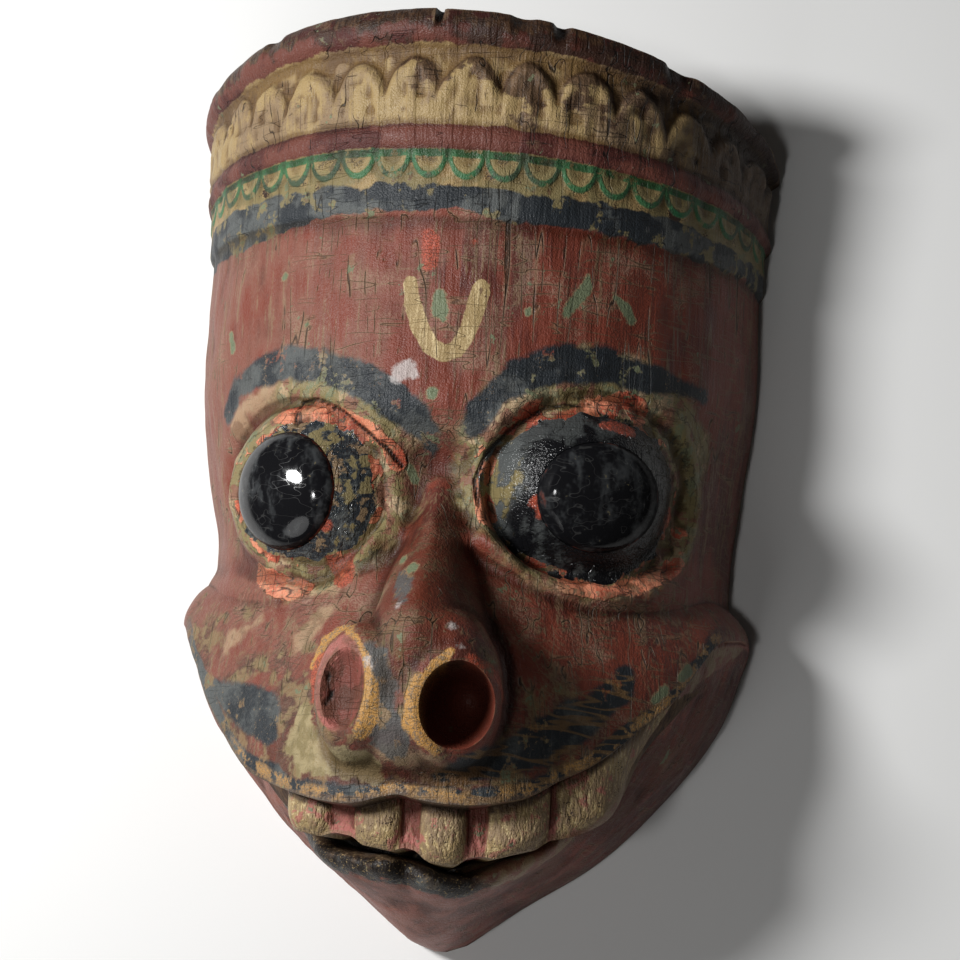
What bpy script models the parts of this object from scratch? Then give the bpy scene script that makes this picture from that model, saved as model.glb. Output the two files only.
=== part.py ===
"""Hanuman temple mask: a hollow carved wooden face with a crown and two domed eyes.

The mask lies on its back rim, face up: +X is the viewer's right, +Y runs to the crown
and +Z comes out of the face. Metres throughout. A point of the carved face is given by
its turn round the mask's long axis, its place along that axis and its distance from it.
"""

import math

import bmesh
import bpy
import numpy as np

for item in list(bpy.data.objects):
    bpy.data.objects.remove(item, do_unlink=True)

# Driving sizes, in metres
CROWN_TOP = 0.2385
CHIN_TIP = -0.236
CROWN_HALF_WIDTH = 0.152
FOREHEAD_HALF_WIDTH = 0.153
FOREHEAD_DEPTH = 0.141
LEFT_WAIST = 0.006
LEFT_JAW_IN = 0.003
CHIN_LEAN = 0.005
LEAN_START = -0.180
WALL = 0.020
TOP_WALL = 0.022
GAP = 0.0003

# Crown rings, measured up the middle of the front
RIM_DROP = 0.030
RING_TILT = 0.005
TOP_DROP = 0.036
TOP_TILT = 0.009
BAND_TOP = CROWN_TOP - 0.0185
PETAL_PEAK = CROWN_TOP - 0.0235
BAND_BOTTOM = CROWN_TOP - 0.0590
SCALLOP_TOP = CROWN_TOP - 0.0725
SCALLOP_BOTTOM = CROWN_TOP - 0.0870
BLUE_BOTTOM = CROWN_TOP - 0.1070
MOULDING_PROUD = 0.0060
FILLET_PROUD = 0.0055
BLUE_PROUD = 0.0025
PETAL_PITCH = math.radians(11.7)
PETAL_START = math.radians(3.7)
PETAL_RELIEF = 0.0045
SCALLOP_PITCH = math.radians(7.6)
SCALLOP_RELIEF = 0.0018

# Eyes
LEFT_EYE = (-0.060, -0.0055)
RIGHT_EYE = (0.066, 0.000)
EYE_FORWARD = 0.088
EYE_RADIUS = 0.050
EYE_TURN = math.radians(25.0)
LEFT_EYE_DROP = math.radians(6.0)
RIGHT_EYE_DROP = math.radians(12.0)
LEFT_LID = (46.7, 11.3, 4.7, -1.0)
RIGHT_LID = (64.0, 0.5, 10.4, 0.8)
LID_THICK = 0.0035
LEFT_PUPIL = 0.0300
RIGHT_PUPIL = 0.0275
RIGHT_PUPIL_STRETCH = 1.15
DOME_PROUD = 0.003
POCKET_DEPTH = 0.0025
SOCKET_TURN = math.radians(36.0)
SOCKET_HALF_TURN = math.radians(26.0)
SOCKET_HALF_HEIGHT = 0.053
SOCKET_SAG = 0.005
SOCKET_INNER_FLOOR = 0.110
SOCKET_OUTER_FLOOR = 0.137

# Nose
NOSE_FORWARD = 0.198
NOSE_REF = NOSE_FORWARD - 0.003
WING_FORWARD = NOSE_FORWARD - 0.002
LEFT_WING = (-0.0290, -0.1150)
LEFT_WING_HALF = (0.0235, 0.0355)
RIGHT_WING = (0.0270, -0.1130)
RIGHT_WING_HALF = (0.0290, 0.0380)
LEFT_NOSTRIL = (-0.0300, -0.1130)
RIGHT_NOSTRIL = (0.0290, -0.1230)
LEFT_NOSTRIL_HALF = (0.0145, 0.0255)
RIGHT_NOSTRIL_HALF = (0.0185, 0.0220)
LEFT_NOSTRIL_DEPTH = 0.012
RIGHT_NOSTRIL_DEPTH = 0.048
NOSTRIL_RIM = 0.0024

# Mouth
TOOTH_FORWARD = 0.153
TOOTH_RELIEF = 0.0095
SLOT_FORWARD = 0.104
LIP_ROLL = 0.021
LIP_ROLL_HEIGHT = 0.019
STEP = 0.0012
LIP_EDGE = (
    (-90.0, -0.0660),
    (-78.0, -0.0680),
    (-69.0, -0.0730),
    (-57.0, -0.1000),
    (-47.0, -0.1270),
    (-36.0, -0.1500),
    (-25.0, -0.1610),
    (-19.0, -0.1650),
    (-13.0, -0.1680),
    (-8.0, -0.1680),
    (-4.0, -0.1650),
    (-1.0, -0.1633),
    (2.0, -0.1650),
    (6.0, -0.1665),
    (11.0, -0.1668),
    (17.0, -0.1640),
    (22.0, -0.1600),
    (27.0, -0.1525),
    (34.0, -0.1430),
    (40.0, -0.1320),
    (46.0, -0.1195),
    (51.0, -0.1090),
    (57.0, -0.0940),
    (64.0, -0.0750),
    (74.0, -0.0680),
    (90.0, -0.0660),
)

# Mesh
COLUMNS = 190
TARGET_TRIANGLES = 6500
EYE_SEGMENTS = 32
NOSTRIL_SEGMENTS = 28
END_TURN = math.radians(90.0)
TOP = CROWN_TOP + math.hypot(TOP_DROP, TOP_TILT) - TOP_DROP
SHIFT = -(TOP + CHIN_TIP) / 2


def curve(x, *stops):
    """Smooth interpolation through (x, y) stops."""
    xs = np.array([stop[0] for stop in stops])
    ys = np.array([stop[1] for stop in stops])
    slopes = np.gradient(ys, xs)
    x = np.clip(x, xs[0], xs[-1])
    k = np.clip(np.searchsorted(xs, x, side="right") - 1, 0, len(xs) - 2)
    span = xs[k + 1] - xs[k]
    t = (x - xs[k]) / span
    rise = 3 * t**2 - 2 * t**3
    bend_in = (t**3 - 2 * t**2 + t) * span * slopes[k]
    bend_out = (t**3 - t**2) * span * slopes[k + 1]
    return ys[k] * (1 - rise) + ys[k + 1] * rise + bend_in + bend_out


def ramp(x, start, end):
    """Smooth step from 0 at start to 1 at end."""
    t = np.clip((x - start) / (end - start), 0.0, 1.0)
    return t * t * (3 - 2 * t)


def soft_max(a, b, k):
    """Larger of a and b with a rounded join of size k."""
    h = np.clip(0.5 + 0.5 * (a - b) / k, 0.0, 1.0)
    return b * (1 - h) + a * h + k * h * (1 - h)


def half_width(v):
    """Outline of the back rim: half the mask's width at height v."""
    return curve(
        v,
        (CHIN_TIP, 0.004),
        (-0.233, 0.013),
        (-0.226, 0.023),
        (-0.212, 0.041),
        (-0.188, 0.075),
        (-0.150, 0.113),
        (-0.110, 0.141),
        (-0.085, 0.150),
        (-0.064, 0.154),
        (-0.050, 0.144),
        (-0.030, 0.143),
        (0.010, 0.147),
        (0.060, FOREHEAD_HALF_WIDTH),
        (BLUE_BOTTOM, FOREHEAD_HALF_WIDTH),
        (CROWN_TOP, CROWN_HALF_WIDTH),
    )


def front_depth(v):
    """Depth of the plain face, without nose, muzzle and teeth, at its middle."""
    return curve(
        v,
        (CHIN_TIP, 0.012),
        (-0.232, 0.036),
        (-0.220, 0.080),
        (-0.208, 0.107),
        (-0.195, 0.122),
        (-0.170, 0.138),
        (-0.130, 0.146),
        (0.000, FOREHEAD_DEPTH),
        (0.135, FOREHEAD_DEPTH + 0.001),
        (CROWN_TOP, FOREHEAD_DEPTH + 0.004),
    )


def plain_radius(turn, v, inset=0.0):
    """Elliptical cross-section of the block, drawn in by inset."""
    waist = LEFT_WAIST * np.exp(-(((v + 0.028) / 0.034) ** 2)) + LEFT_JAW_IN * ramp(-v, 0.06, 0.10)
    a = half_width(v) - np.where(turn < 0, waist, 0.0) - inset
    b = front_depth(v) - inset
    return 1.0 / np.sqrt((np.sin(turn) / a) ** 2 + (np.cos(turn) / b) ** 2)


def ring(turn, v, drop=0.0, tilt=RING_TILT):
    """Height of a crown ring whose middle is at v and whose ends fall by drop."""
    return v - drop * (1 - np.cos(turn)) - tilt * np.sin(turn)


def crown_level(turn, v):
    """Height as it would be with level crown rings."""
    rim = ring(turn, CROWN_TOP, RIM_DROP)
    low = ring(turn, BLUE_BOTTOM)
    return BLUE_BOTTOM + (v - low) / (rim - low) * (CROWN_TOP - BLUE_BOTTOM)


def lip_edge(turn):
    """Height of the muzzle's sharp lower edge."""
    return curve(np.degrees(turn), *LIP_EDGE)


def lip_radius(turn):
    """Distance of the muzzle's lower edge from the long axis."""
    radius = curve(
        np.abs(np.degrees(turn)),
        (0.0, 0.165),
        (15.0, 0.165),
        (25.0, 0.157),
        (36.0, 0.153),
        (57.0, 0.155),
        (72.0, 0.157),
        (90.0, 0.1545),
    )
    return radius - LEFT_JAW_IN * ramp(-np.degrees(turn), 30.0, 50.0)


def teeth_bottom(turn):
    """Lower limit of the row of teeth, or just under the lip edge beyond it."""
    row = curve(
        np.degrees(turn),
        (-90.0, -0.060),
        (-54.0, -0.125),
        (-47.0, -0.152),
        (-35.0, -0.173),
        (-24.0, -0.181),
        (-12.0, -0.186),
        (0.0, -0.191),
        (8.0, -0.195),
        (21.0, -0.188),
        (35.0, -0.175),
        (47.0, -0.154),
        (54.0, -0.127),
        (90.0, -0.060),
    )
    return np.minimum(row, lip_edge(turn) - 3 * STEP)


def slot_height(turn):
    """Height of the open mouth between the teeth and the lower lip."""
    away = np.abs(np.degrees(turn))
    return 0.002 + 0.004 * ramp(away, 2.0, 12.0) * (1 - ramp(away, 18.0, 32.0))


def cheek_line(turn):
    """Crease where the eye region meets the muzzle."""
    return curve(
        np.abs(np.degrees(turn)),
        (0.0, -0.030),
        (14.0, -0.044),
        (36.0, -0.062),
        (55.0, -0.058),
        (70.0, -0.049),
        (90.0, -0.047),
    )


def petal_shape(turn, level):
    """How far a point is inside a crown petal, negative outside, and how far across it (-0.5 to 0.5)."""
    across = np.mod((turn - PETAL_START) / PETAL_PITCH + 0.5, 1.0) - 0.5
    foot = BAND_BOTTOM + 0.002
    up = np.maximum(level - foot, 0.0) / (PETAL_PEAK - foot)
    reach = (np.abs(across) / 0.47) ** 2.1 + up**2.3
    return (1.0 - reach**0.55) * 0.016, across


def scallop_shape(turn, level):
    """How far a point is inside the hanging scallops, negative outside."""
    across = np.mod(turn / SCALLOP_PITCH, 1.0) - 0.5
    down = np.maximum(SCALLOP_TOP - 0.002 - level, 0.0) / (SCALLOP_TOP - 0.002 - SCALLOP_BOTTOM)
    reach = (np.abs(across) / 0.46) ** 2.0 + down**2.0
    return (1.0 - reach**0.5) * 0.010


def roll(level, low, high):
    """Half-round moulding between two levels, 1 at its crest."""
    t = np.clip((level - low) / (high - low), 0.0, 1.0)
    return (4.0 * t * (1.0 - t)) ** 0.6


def crown_relief(turn, v):
    """Mouldings, petals and scallops of the crown, above the plain block."""
    level = crown_level(turn, v)
    relief = BLUE_PROUD * ramp(level, BLUE_BOTTOM - 0.0015, BLUE_BOTTOM + 0.0015)
    relief += (FILLET_PROUD - 0.002) * roll(level, SCALLOP_TOP, BAND_BOTTOM)
    relief += 0.0015 * ramp(level, BAND_BOTTOM - 0.002, BAND_BOTTOM)
    relief += MOULDING_PROUD * roll(level, BAND_TOP, CROWN_TOP + 0.002)
    relief += 0.0010 * ramp(level, BAND_TOP, BAND_TOP + 0.003)

    inside, across = petal_shape(turn, level)
    fade = 1 - ramp(np.abs(turn), END_TURN - math.radians(7.0), END_TURN - math.radians(2.0))
    on_petal = fade * ramp(inside, -0.0006, 0.0022) * ramp(level, BAND_BOTTOM, BAND_BOTTOM + 0.003)
    rib = 0.35 + 0.65 * np.exp(-((across / 0.11) ** 2))
    hollow = ramp(inside, 0.0025, 0.007) * (1.0 - 0.8 * rib)
    belly = 0.7 + 0.3 * ramp(level, BAND_BOTTOM, PETAL_PEAK)
    relief += on_petal * PETAL_RELIEF * belly * (1 - 0.5 * hollow)

    hang = scallop_shape(turn, level)
    on_scallop = ramp(hang, -0.0004, 0.0014) * ramp(SCALLOP_TOP - level, -0.001, 0.001)
    relief += fade * SCALLOP_RELIEF * on_scallop * (1 - 0.75 * ramp(hang, 0.0016, 0.0040))
    return relief


def eye_centre(side):
    """Middle of an eyeball: side is -1 on the viewer's left, 1 on the right."""
    place = RIGHT_EYE if side > 0 else LEFT_EYE
    return np.array([place[0], place[1], EYE_FORWARD])


def frame_along(direction):
    """Rotation that takes +Z to direction and keeps local Y upright on the face."""
    z_axis = direction / np.linalg.norm(direction)
    x_axis = np.cross((0.0, 1.0, 0.0), z_axis)
    x_axis = x_axis / np.linalg.norm(x_axis)
    y_axis = np.cross(z_axis, x_axis)
    return np.stack([x_axis, y_axis, z_axis], axis=1)


def eye_axis(side):
    """Direction in which an eye looks."""
    drop = RIGHT_EYE_DROP if side > 0 else LEFT_EYE_DROP
    flat = math.cos(drop)
    return np.array([side * math.sin(EYE_TURN) * flat, -math.sin(drop), math.cos(EYE_TURN) * flat])


def eye_angles(x, v, z, side):
    """Angle off the eye's axis, and angle round it from the nose (0) by the brow (90), in degrees."""
    basis = frame_along(eye_axis(side))
    centre = eye_centre(side)
    local = [basis[0, k] * (x - centre[0]) + basis[1, k] * (v - centre[1]) + basis[2, k] * (z - centre[2]) for k in range(3)]
    off = np.degrees(np.arctan2(np.hypot(local[0], local[1]), local[2]))
    around = np.degrees(np.arctan2(local[1], -side * local[0]))
    return off, around


def lid_angle(around, side):
    """Angle off the axis at which the lid's edge lies."""
    mean, first, second, lift = RIGHT_LID if side > 0 else LEFT_LID
    around = np.radians(around)
    return mean + first * np.cos(around) + second * np.cos(2 * around) + lift * np.sin(around)


def ball_radius(turn, v, side, radius):
    """Distance from the long axis to an eyeball of that radius, or zero off it."""
    centre = eye_centre(side)
    along = centre[0] * np.sin(turn) + centre[2] * np.cos(turn)
    left_over = along**2 - (centre[0] ** 2 + centre[2] ** 2 + (v - centre[1]) ** 2 - radius**2)
    return np.where(left_over > 0, along + np.sqrt(np.maximum(left_over, 0.0)), 0.0)


def eyeball(turn, v, side):
    """An eyeball with a thicker lid round its back."""
    ball = ball_radius(turn, v, side, EYE_RADIUS)
    lid = ball_radius(turn, v, side, EYE_RADIUS + LID_THICK)
    off, around = eye_angles(lid * np.sin(turn), v, lid * np.cos(turn), side)
    edge = lid_angle(around, side)
    share = ramp(off, edge, edge + 6.0)
    share = np.where(ball > 0, share, 1.0)
    return ball * (1 - share) + lid * share


def carve_sockets(radius, turn, v):
    """Sink the sockets and raise the eyeballs in them."""
    for side in (-1.0, 1.0):
        across = (turn * side - SOCKET_TURN) / SOCKET_HALF_TURN
        up = (v - eye_centre(side)[1] + SOCKET_SAG) / SOCKET_HALF_HEIGHT
        away = np.sqrt(across**2 + up**2)
        floor_share = ramp(turn * side, math.radians(8.0), math.radians(42.0))
        floor = SOCKET_INNER_FLOOR + (SOCKET_OUTER_FLOOR - SOCKET_INNER_FLOOR) * floor_share
        depth = 1 - ramp(away, 0.80, 1.04)
        radius = radius * (1 - depth) + np.minimum(floor, radius) * depth
        radius = soft_max(radius, eyeball(turn, v, side), 0.002)
    return radius


def raise_to(base, top, share):
    """Lift a surface part of the way to a higher one."""
    return base + np.maximum(top - base, 0.0) * share


def nose(radius, turn, v):
    """Ridge, tip and two nostril wings, standing on the face."""
    across = NOSE_REF * np.tan(np.clip(turn, -1.2, 1.2))
    middle = curve(v, (-0.16, -0.001), (-0.12, -0.001), (-0.085, 0.006), (-0.05, 0.005), (0.0, 0.003))
    crest = curve(
        v,
        (-0.165, NOSE_FORWARD - 0.052),
        (-0.155, NOSE_FORWARD - 0.034),
        (-0.147, NOSE_FORWARD - 0.017),
        (-0.136, NOSE_FORWARD - 0.007),
        (-0.110, NOSE_FORWARD - 0.004),
        (-0.085, NOSE_FORWARD),
        (-0.066, NOSE_FORWARD - 0.015),
        (-0.037, NOSE_FORWARD - 0.047),
        (0.000, NOSE_FORWARD - 0.078),
        (0.020, NOSE_FORWARD - 0.098),
    )
    breadth = curve(v, (-0.165, 0.026), (-0.12, 0.030), (-0.09, 0.040), (-0.06, 0.036), (-0.03, 0.026), (0.01, 0.010))
    power = curve(v, (-0.165, 1.8), (-0.14, 2.2), (-0.12, 2.8), (-0.09, 1.9), (-0.06, 1.4), (0.01, 1.3))
    flank = np.clip(1.0 - (np.abs(across - middle) / breadth) ** power, 0.0, 1.0)
    radius = raise_to(radius, crest, flank)
    for centre, half in ((LEFT_WING, LEFT_WING_HALF), (RIGHT_WING, RIGHT_WING_HALF)):
        away = ((across - centre[0]) / half[0]) ** 2 + ((v - centre[1]) / half[1]) ** 2
        radius = raise_to(radius, WING_FORWARD, np.clip(1.0 - away, 0.0, 1.0) ** 0.42)
    for centre, half in ((LEFT_NOSTRIL, LEFT_NOSTRIL_HALF), (RIGHT_NOSTRIL, RIGHT_NOSTRIL_HALF)):
        away = np.hypot((across - centre[0]) / half[0], (v - centre[1]) / half[1])
        radius = radius + NOSTRIL_RIM * np.exp(-(((away - 1.16) / 0.15) ** 2))
    return radius


def muzzle(radius, turn, v):
    """Cheeks and upper lip swelling down to the sharp lip edge."""
    top = cheek_line(turn)
    low = lip_edge(turn)
    along = np.clip((top - v) / (top - low), 0.0, 1.0)
    start = curve(np.abs(np.degrees(turn)), (0.0, 0.124), (15.0, 0.128), (36.0, 0.136), (60.0, 0.141), (90.0, 0.143))
    swell = start + (lip_radius(turn) - start) * np.sin(along * math.pi / 2) ** 0.9
    share = ramp(top + 0.010 - v, 0.0, 0.014)
    return radius * (1 - share) + swell * share


TEETH = ((-27.0, -15.3), (-10.5, -0.9), (2.3, 11.5), (15.2, 27.0), (28.6, 52.0))


def teeth(jaw, turn, v):
    """The row of teeth under the lip, with sunken gums between them."""
    degrees = np.degrees(turn)
    reach = ramp(degrees, -36.0, -22.0) * (1 - ramp(degrees, 34.0, 54.0))
    gum = jaw + (TOOTH_FORWARD - TOOTH_RELIEF - jaw) * reach
    surface = gum
    low = teeth_bottom(turn)
    high = lip_edge(turn)
    for start, end in TEETH:
        across = np.clip((degrees - (start + end) / 2) / ((end - start) / 2), -1.0, 1.0)
        round_side = (1.0 - np.abs(across) ** 2.6) ** 0.55
        bottom = low + 0.007 * np.abs(across) ** 3.0
        share = np.clip((v - bottom) / (high - bottom), 0.0, 1.0)
        belly = ramp(v - bottom, -0.0005, 0.008) ** 0.5 * (0.86 + 0.14 * np.sin(share * math.pi))
        surface = surface + TOOTH_RELIEF * reach * round_side * belly
    return surface


def face_radius(turn, v, row_zone):
    """Distance from the long axis to the carved surface.

    row_zone is 0 below the slot, 1 in it, 2 on the teeth and 3 above the lip edge.
    """
    plain = plain_radius(turn, v)
    jaw = plain
    lip_middle = teeth_bottom(turn) - slot_height(turn) - LIP_ROLL_HEIGHT / 2
    lip_roll = np.clip(1.0 - ((v - lip_middle) / (LIP_ROLL_HEIGHT / 2)) ** 2, 0.0, 1.0) ** 0.6
    degrees = np.degrees(turn)
    notch = 1 - 0.40 * np.exp(-(((degrees + 0.5) / 2.6) ** 2))
    lip_reach = ramp(degrees, -42.0, -18.0) * (1 - ramp(degrees, 18.0, 50.0))
    jaw_with_lip = jaw + LIP_ROLL * lip_roll * lip_reach * notch
    ridge = np.exp(-(((degrees - 1.0) / 7.0) ** 2)) * ramp(-v, 0.200, 0.222)
    jaw_with_lip = jaw_with_lip + 0.003 * ridge
    slot_share = 1 - ramp(np.abs(np.degrees(turn)), 22.0, 32.0)
    slot = jaw + (np.minimum(SLOT_FORWARD, jaw - 0.012) - jaw) * slot_share

    bridge_dip = 0.022 * np.exp(-((np.degrees(turn) / 13.0) ** 2)) * (1 - ramp(np.abs(v + 0.008), 0.012, 0.045))
    upper = plain - bridge_dip
    upper = upper + crown_relief(turn, v)
    upper = muzzle(upper, turn, v)
    upper = carve_sockets(upper, turn, v)
    upper = nose(upper, turn, v)

    return np.select(
        [row_zone == 0, row_zone == 1, row_zone == 2],
        [jaw_with_lip, slot, teeth(jaw, turn, v)],
        upper,
    )


def row_rails(turn):
    """Lines that rows of the grid follow: (height, zone of the rows up to it, rows)."""
    edge = lip_edge(turn)
    low = teeth_bottom(turn)
    slot = slot_height(turn)
    return (
        (np.full_like(turn, CHIN_TIP), 0, 0),
        (low - slot, 0, 28),
        (low - slot + STEP / 2, 1, 1),
        (low - STEP / 2, 1, 4),
        (low, 2, 1),
        (edge - STEP, 2, 10),
        (edge, 3, 1),
        (cheek_line(turn), 3, 42),
        (np.full_like(turn, 0.062), 3, 46),
        (ring(turn, BLUE_BOTTOM - 0.002), 3, 14),
        (ring(turn, CROWN_TOP, TOP_DROP, TOP_TILT), 3, 56),
    )


def carved_block():
    """The solid block before hollowing: a grid on the carved face, closed flat at the back."""
    turn = np.linspace(-END_TURN, END_TURN, COLUMNS)
    rows = []
    rails = row_rails(turn)
    for (start, _, _), (end, zone, count) in zip(rails, rails[1:]):
        for step in range(count):
            share = (step + 1) / count
            rows.append((start + (end - start) * share, zone))
    rows.insert(0, (rails[0][0], 0))
    points = []
    for height, zone in rows:
        radius = face_radius(turn, height, np.full(COLUMNS, zone))
        across = radius * np.sin(turn) - CHIN_LEAN * ramp(-height, -LEAN_START, -CHIN_TIP)
        out = radius * np.cos(turn)
        out[0] = 0.0
        out[-1] = 0.0
        points.append(np.stack([across, height, out], axis=1))
    return mesh_object("mask_shell", loft(points))


def loft(sections):
    """Closed mesh through a list of equally long loops, capped at both ends."""
    count = len(sections[0])
    vertices = [tuple(point) for section in sections for point in section]
    faces = []
    for row in range(len(sections) - 1):
        for column in range(count):
            after = (column + 1) % count
            a = row * count + column
            b = row * count + after
            faces.append((a, b, b + count, a + count))
    last = (len(sections) - 1) * count
    faces.append(tuple(range(count - 1, -1, -1)))
    faces.append(tuple(range(last, last + count)))
    return vertices, faces


def mesh_object(name, geometry):
    """New object from vertices and faces, with its faces turned outwards."""
    vertices, faces = geometry
    mesh = bpy.data.meshes.new(name)
    mesh.from_pydata(vertices, [], faces)
    work = bmesh.new()
    work.from_mesh(mesh)
    bmesh.ops.recalc_face_normals(work, faces=work.faces)
    bmesh.ops.triangulate(work, faces=work.faces)
    work.to_mesh(mesh)
    work.free()
    return bpy.data.objects.new(name, mesh)


def hollow_depth(v):
    """Depth of the hollow behind the middle of the face."""
    return curve(v, (-0.205, 0.058), (-0.17, 0.085), (-0.12, 0.095), (0.03, 0.090), (0.09, 0.108), (0.22, 0.118))


def cavity_block():
    """The hollow: the plain block drawn in by the wall, open at the back."""
    turn = np.linspace(-END_TURN, END_TURN, 36)
    heights = np.concatenate([np.linspace(-0.205, -0.10, 9), np.linspace(-0.07, CROWN_TOP - TOP_DROP - TOP_WALL, 10)])
    sections = []
    for height in heights:
        side = half_width(height) - LEFT_WAIST - WALL
        front = hollow_depth(height)
        radius = 1.0 / np.sqrt((np.sin(turn) / side) ** 2 + (np.cos(turn) / front) ** 2)
        across = radius * np.sin(turn)
        out = radius * np.cos(turn)
        out[0] = 0.0
        out[-1] = 0.0
        loop = [(across[0], height, -WALL)]
        loop += [(x, height, z) for x, z in zip(across, out)]
        loop.append((across[-1], height, -WALL))
        sections.append(loop)
    return mesh_object("cavity_cutter", loft(sections))


def disc_solid(name, profile, centre, direction, stretch, segments):
    """Turned solid from an (radius, height) profile, stretched across and set on an axis."""
    basis = frame_along(np.array(direction))
    sections = []
    for radius, height in profile:
        loop = []
        for k in range(segments):
            angle = 2 * math.pi * k / segments
            local = np.array([radius * stretch[0] * math.cos(angle), radius * stretch[1] * math.sin(angle), height])
            loop.append(tuple(np.array(centre) + basis @ local))
        sections.append(loop)
    return mesh_object(name, loft(sections))


def pupil_size(side):
    """Radius of a pupil, how far it is stretched across, and how far up the eyeball its rim lies."""
    radius = RIGHT_PUPIL if side > 0 else LEFT_PUPIL
    stretch = (RIGHT_PUPIL_STRETCH if side > 0 else 1.0, 1.0)
    return radius, stretch, math.sqrt(EYE_RADIUS**2 - radius**2)


def eye_pocket(side):
    """Cutter for the round seat of an eye dome."""
    radius, stretch, rim = pupil_size(side)
    profile = ((radius + GAP, rim - POCKET_DEPTH), (radius + GAP, EYE_RADIUS + 2 * WALL))
    return disc_solid("pocket_cutter", profile, eye_centre(side), eye_axis(side), stretch, EYE_SEGMENTS)


def eye_dome(name, side):
    """Glossy domed pupil that sits in its pocket."""
    radius, stretch, rim = pupil_size(side)
    crown = EYE_RADIUS + DOME_PROUD
    profile = [(radius, rim - POCKET_DEPTH + GAP)]
    steps = 7
    for k in range(steps):
        angle = (math.pi / 2) * k / steps
        profile.append((radius * math.cos(angle), rim + (crown - rim) * math.sin(angle)))
    profile.append((radius * 0.03, crown))
    return disc_solid(name, profile, eye_centre(side), eye_axis(side), stretch, EYE_SEGMENTS)


def nostril_cutter(centre, half, depth):
    """Oval cutter that sinks a nostril to a depth below the wing's face."""
    base = np.array([centre[0], centre[1], WING_FORWARD])
    direction = (0.05 if centre[0] > 0 else -0.02, -0.16, 1.0)
    profile = ((half[1] * 0.72, -depth), (half[1] * 0.9, -depth * 0.55), (half[1], 0.02))
    return disc_solid("nostril_cutter", profile, base, direction, (half[0] / half[1], 1.0), NOSTRIL_SEGMENTS)


def make_material(name, color, roughness, metallic=0.0):
    material = bpy.data.materials.new(name)
    material.use_nodes = True
    shader = material.node_tree.nodes["Principled BSDF"]
    shader.inputs["Base Color"].default_value = (*color, 1.0)
    shader.inputs["Roughness"].default_value = roughness
    shader.inputs["Metallic"].default_value = metallic
    return material


def cut(target, cutter, collection):
    """Add a Boolean difference that takes cutter out of target."""
    collection.objects.link(cutter)
    cutter.hide_render = True
    cutter.display_type = "WIRE"
    modifier = target.modifiers.new("cut_" + cutter.name, "BOOLEAN")
    modifier.operation = "DIFFERENCE"
    modifier.solver = "EXACT"
    modifier.object = cutter


def main():
    scene = bpy.context.scene
    parts = bpy.data.collections.new("hanuman_temple_mask")
    cutters = bpy.data.collections.new("cutters")
    scene.collection.children.link(parts)
    scene.collection.children.link(cutters)

    shell = carved_block()
    parts.objects.link(shell)
    thin = shell.modifiers.new("thin_out", "DECIMATE")
    thin.ratio = TARGET_TRIANGLES / len(shell.data.polygons)
    cut(shell, cavity_block(), cutters)
    for side in (-1.0, 1.0):
        cut(shell, eye_pocket(side), cutters)
    cut(shell, nostril_cutter(LEFT_NOSTRIL, LEFT_NOSTRIL_HALF, LEFT_NOSTRIL_DEPTH), cutters)
    cut(shell, nostril_cutter(RIGHT_NOSTRIL, RIGHT_NOSTRIL_HALF, RIGHT_NOSTRIL_DEPTH), cutters)
    shell.data.materials.append(make_material("painted_wood", (0.24, 0.07, 0.05), 0.6))

    for name, side in (("left_eye", -1.0), ("right_eye", 1.0)):
        dome = eye_dome(name, side)
        parts.objects.link(dome)
        dome.data.materials.append(make_material(name + "_black", (0.01, 0.01, 0.012), 0.08))

    for item in list(parts.objects) + list(cutters.objects):
        item.location.y = SHIFT
        item.data.shade_smooth()


main()
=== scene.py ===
"""Looks of the hanuman temple mask: finer carving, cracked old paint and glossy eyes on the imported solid."""

import math

import bmesh
import bpy
import numpy as np
from mathutils import Matrix, Vector


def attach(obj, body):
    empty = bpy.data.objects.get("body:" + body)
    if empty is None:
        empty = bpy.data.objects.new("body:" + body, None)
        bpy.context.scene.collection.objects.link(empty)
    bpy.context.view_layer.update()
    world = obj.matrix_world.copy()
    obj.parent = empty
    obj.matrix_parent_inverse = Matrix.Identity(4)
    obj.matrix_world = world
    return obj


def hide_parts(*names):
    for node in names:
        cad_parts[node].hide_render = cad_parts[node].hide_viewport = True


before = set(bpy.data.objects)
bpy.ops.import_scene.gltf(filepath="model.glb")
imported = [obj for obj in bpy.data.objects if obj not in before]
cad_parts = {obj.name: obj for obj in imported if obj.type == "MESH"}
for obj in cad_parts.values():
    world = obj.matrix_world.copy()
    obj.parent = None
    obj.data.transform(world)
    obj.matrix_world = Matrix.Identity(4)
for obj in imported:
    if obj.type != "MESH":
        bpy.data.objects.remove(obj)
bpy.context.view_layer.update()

# Sizes in metres, most of them as in the solid
CROWN_TOP = 0.2385
CHIN_TIP = -0.236
CROWN_HALF_WIDTH = 0.152
FOREHEAD_HALF_WIDTH = 0.153
FOREHEAD_DEPTH = 0.141
LEFT_WAIST = 0.006
LEFT_JAW_IN = 0.003
CHIN_LEAN = 0.005
LEAN_START = -0.180
WALL = 0.020
TOP_WALL = 0.022
HOLLOW_START = -0.205
GAP = 0.0003

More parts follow.
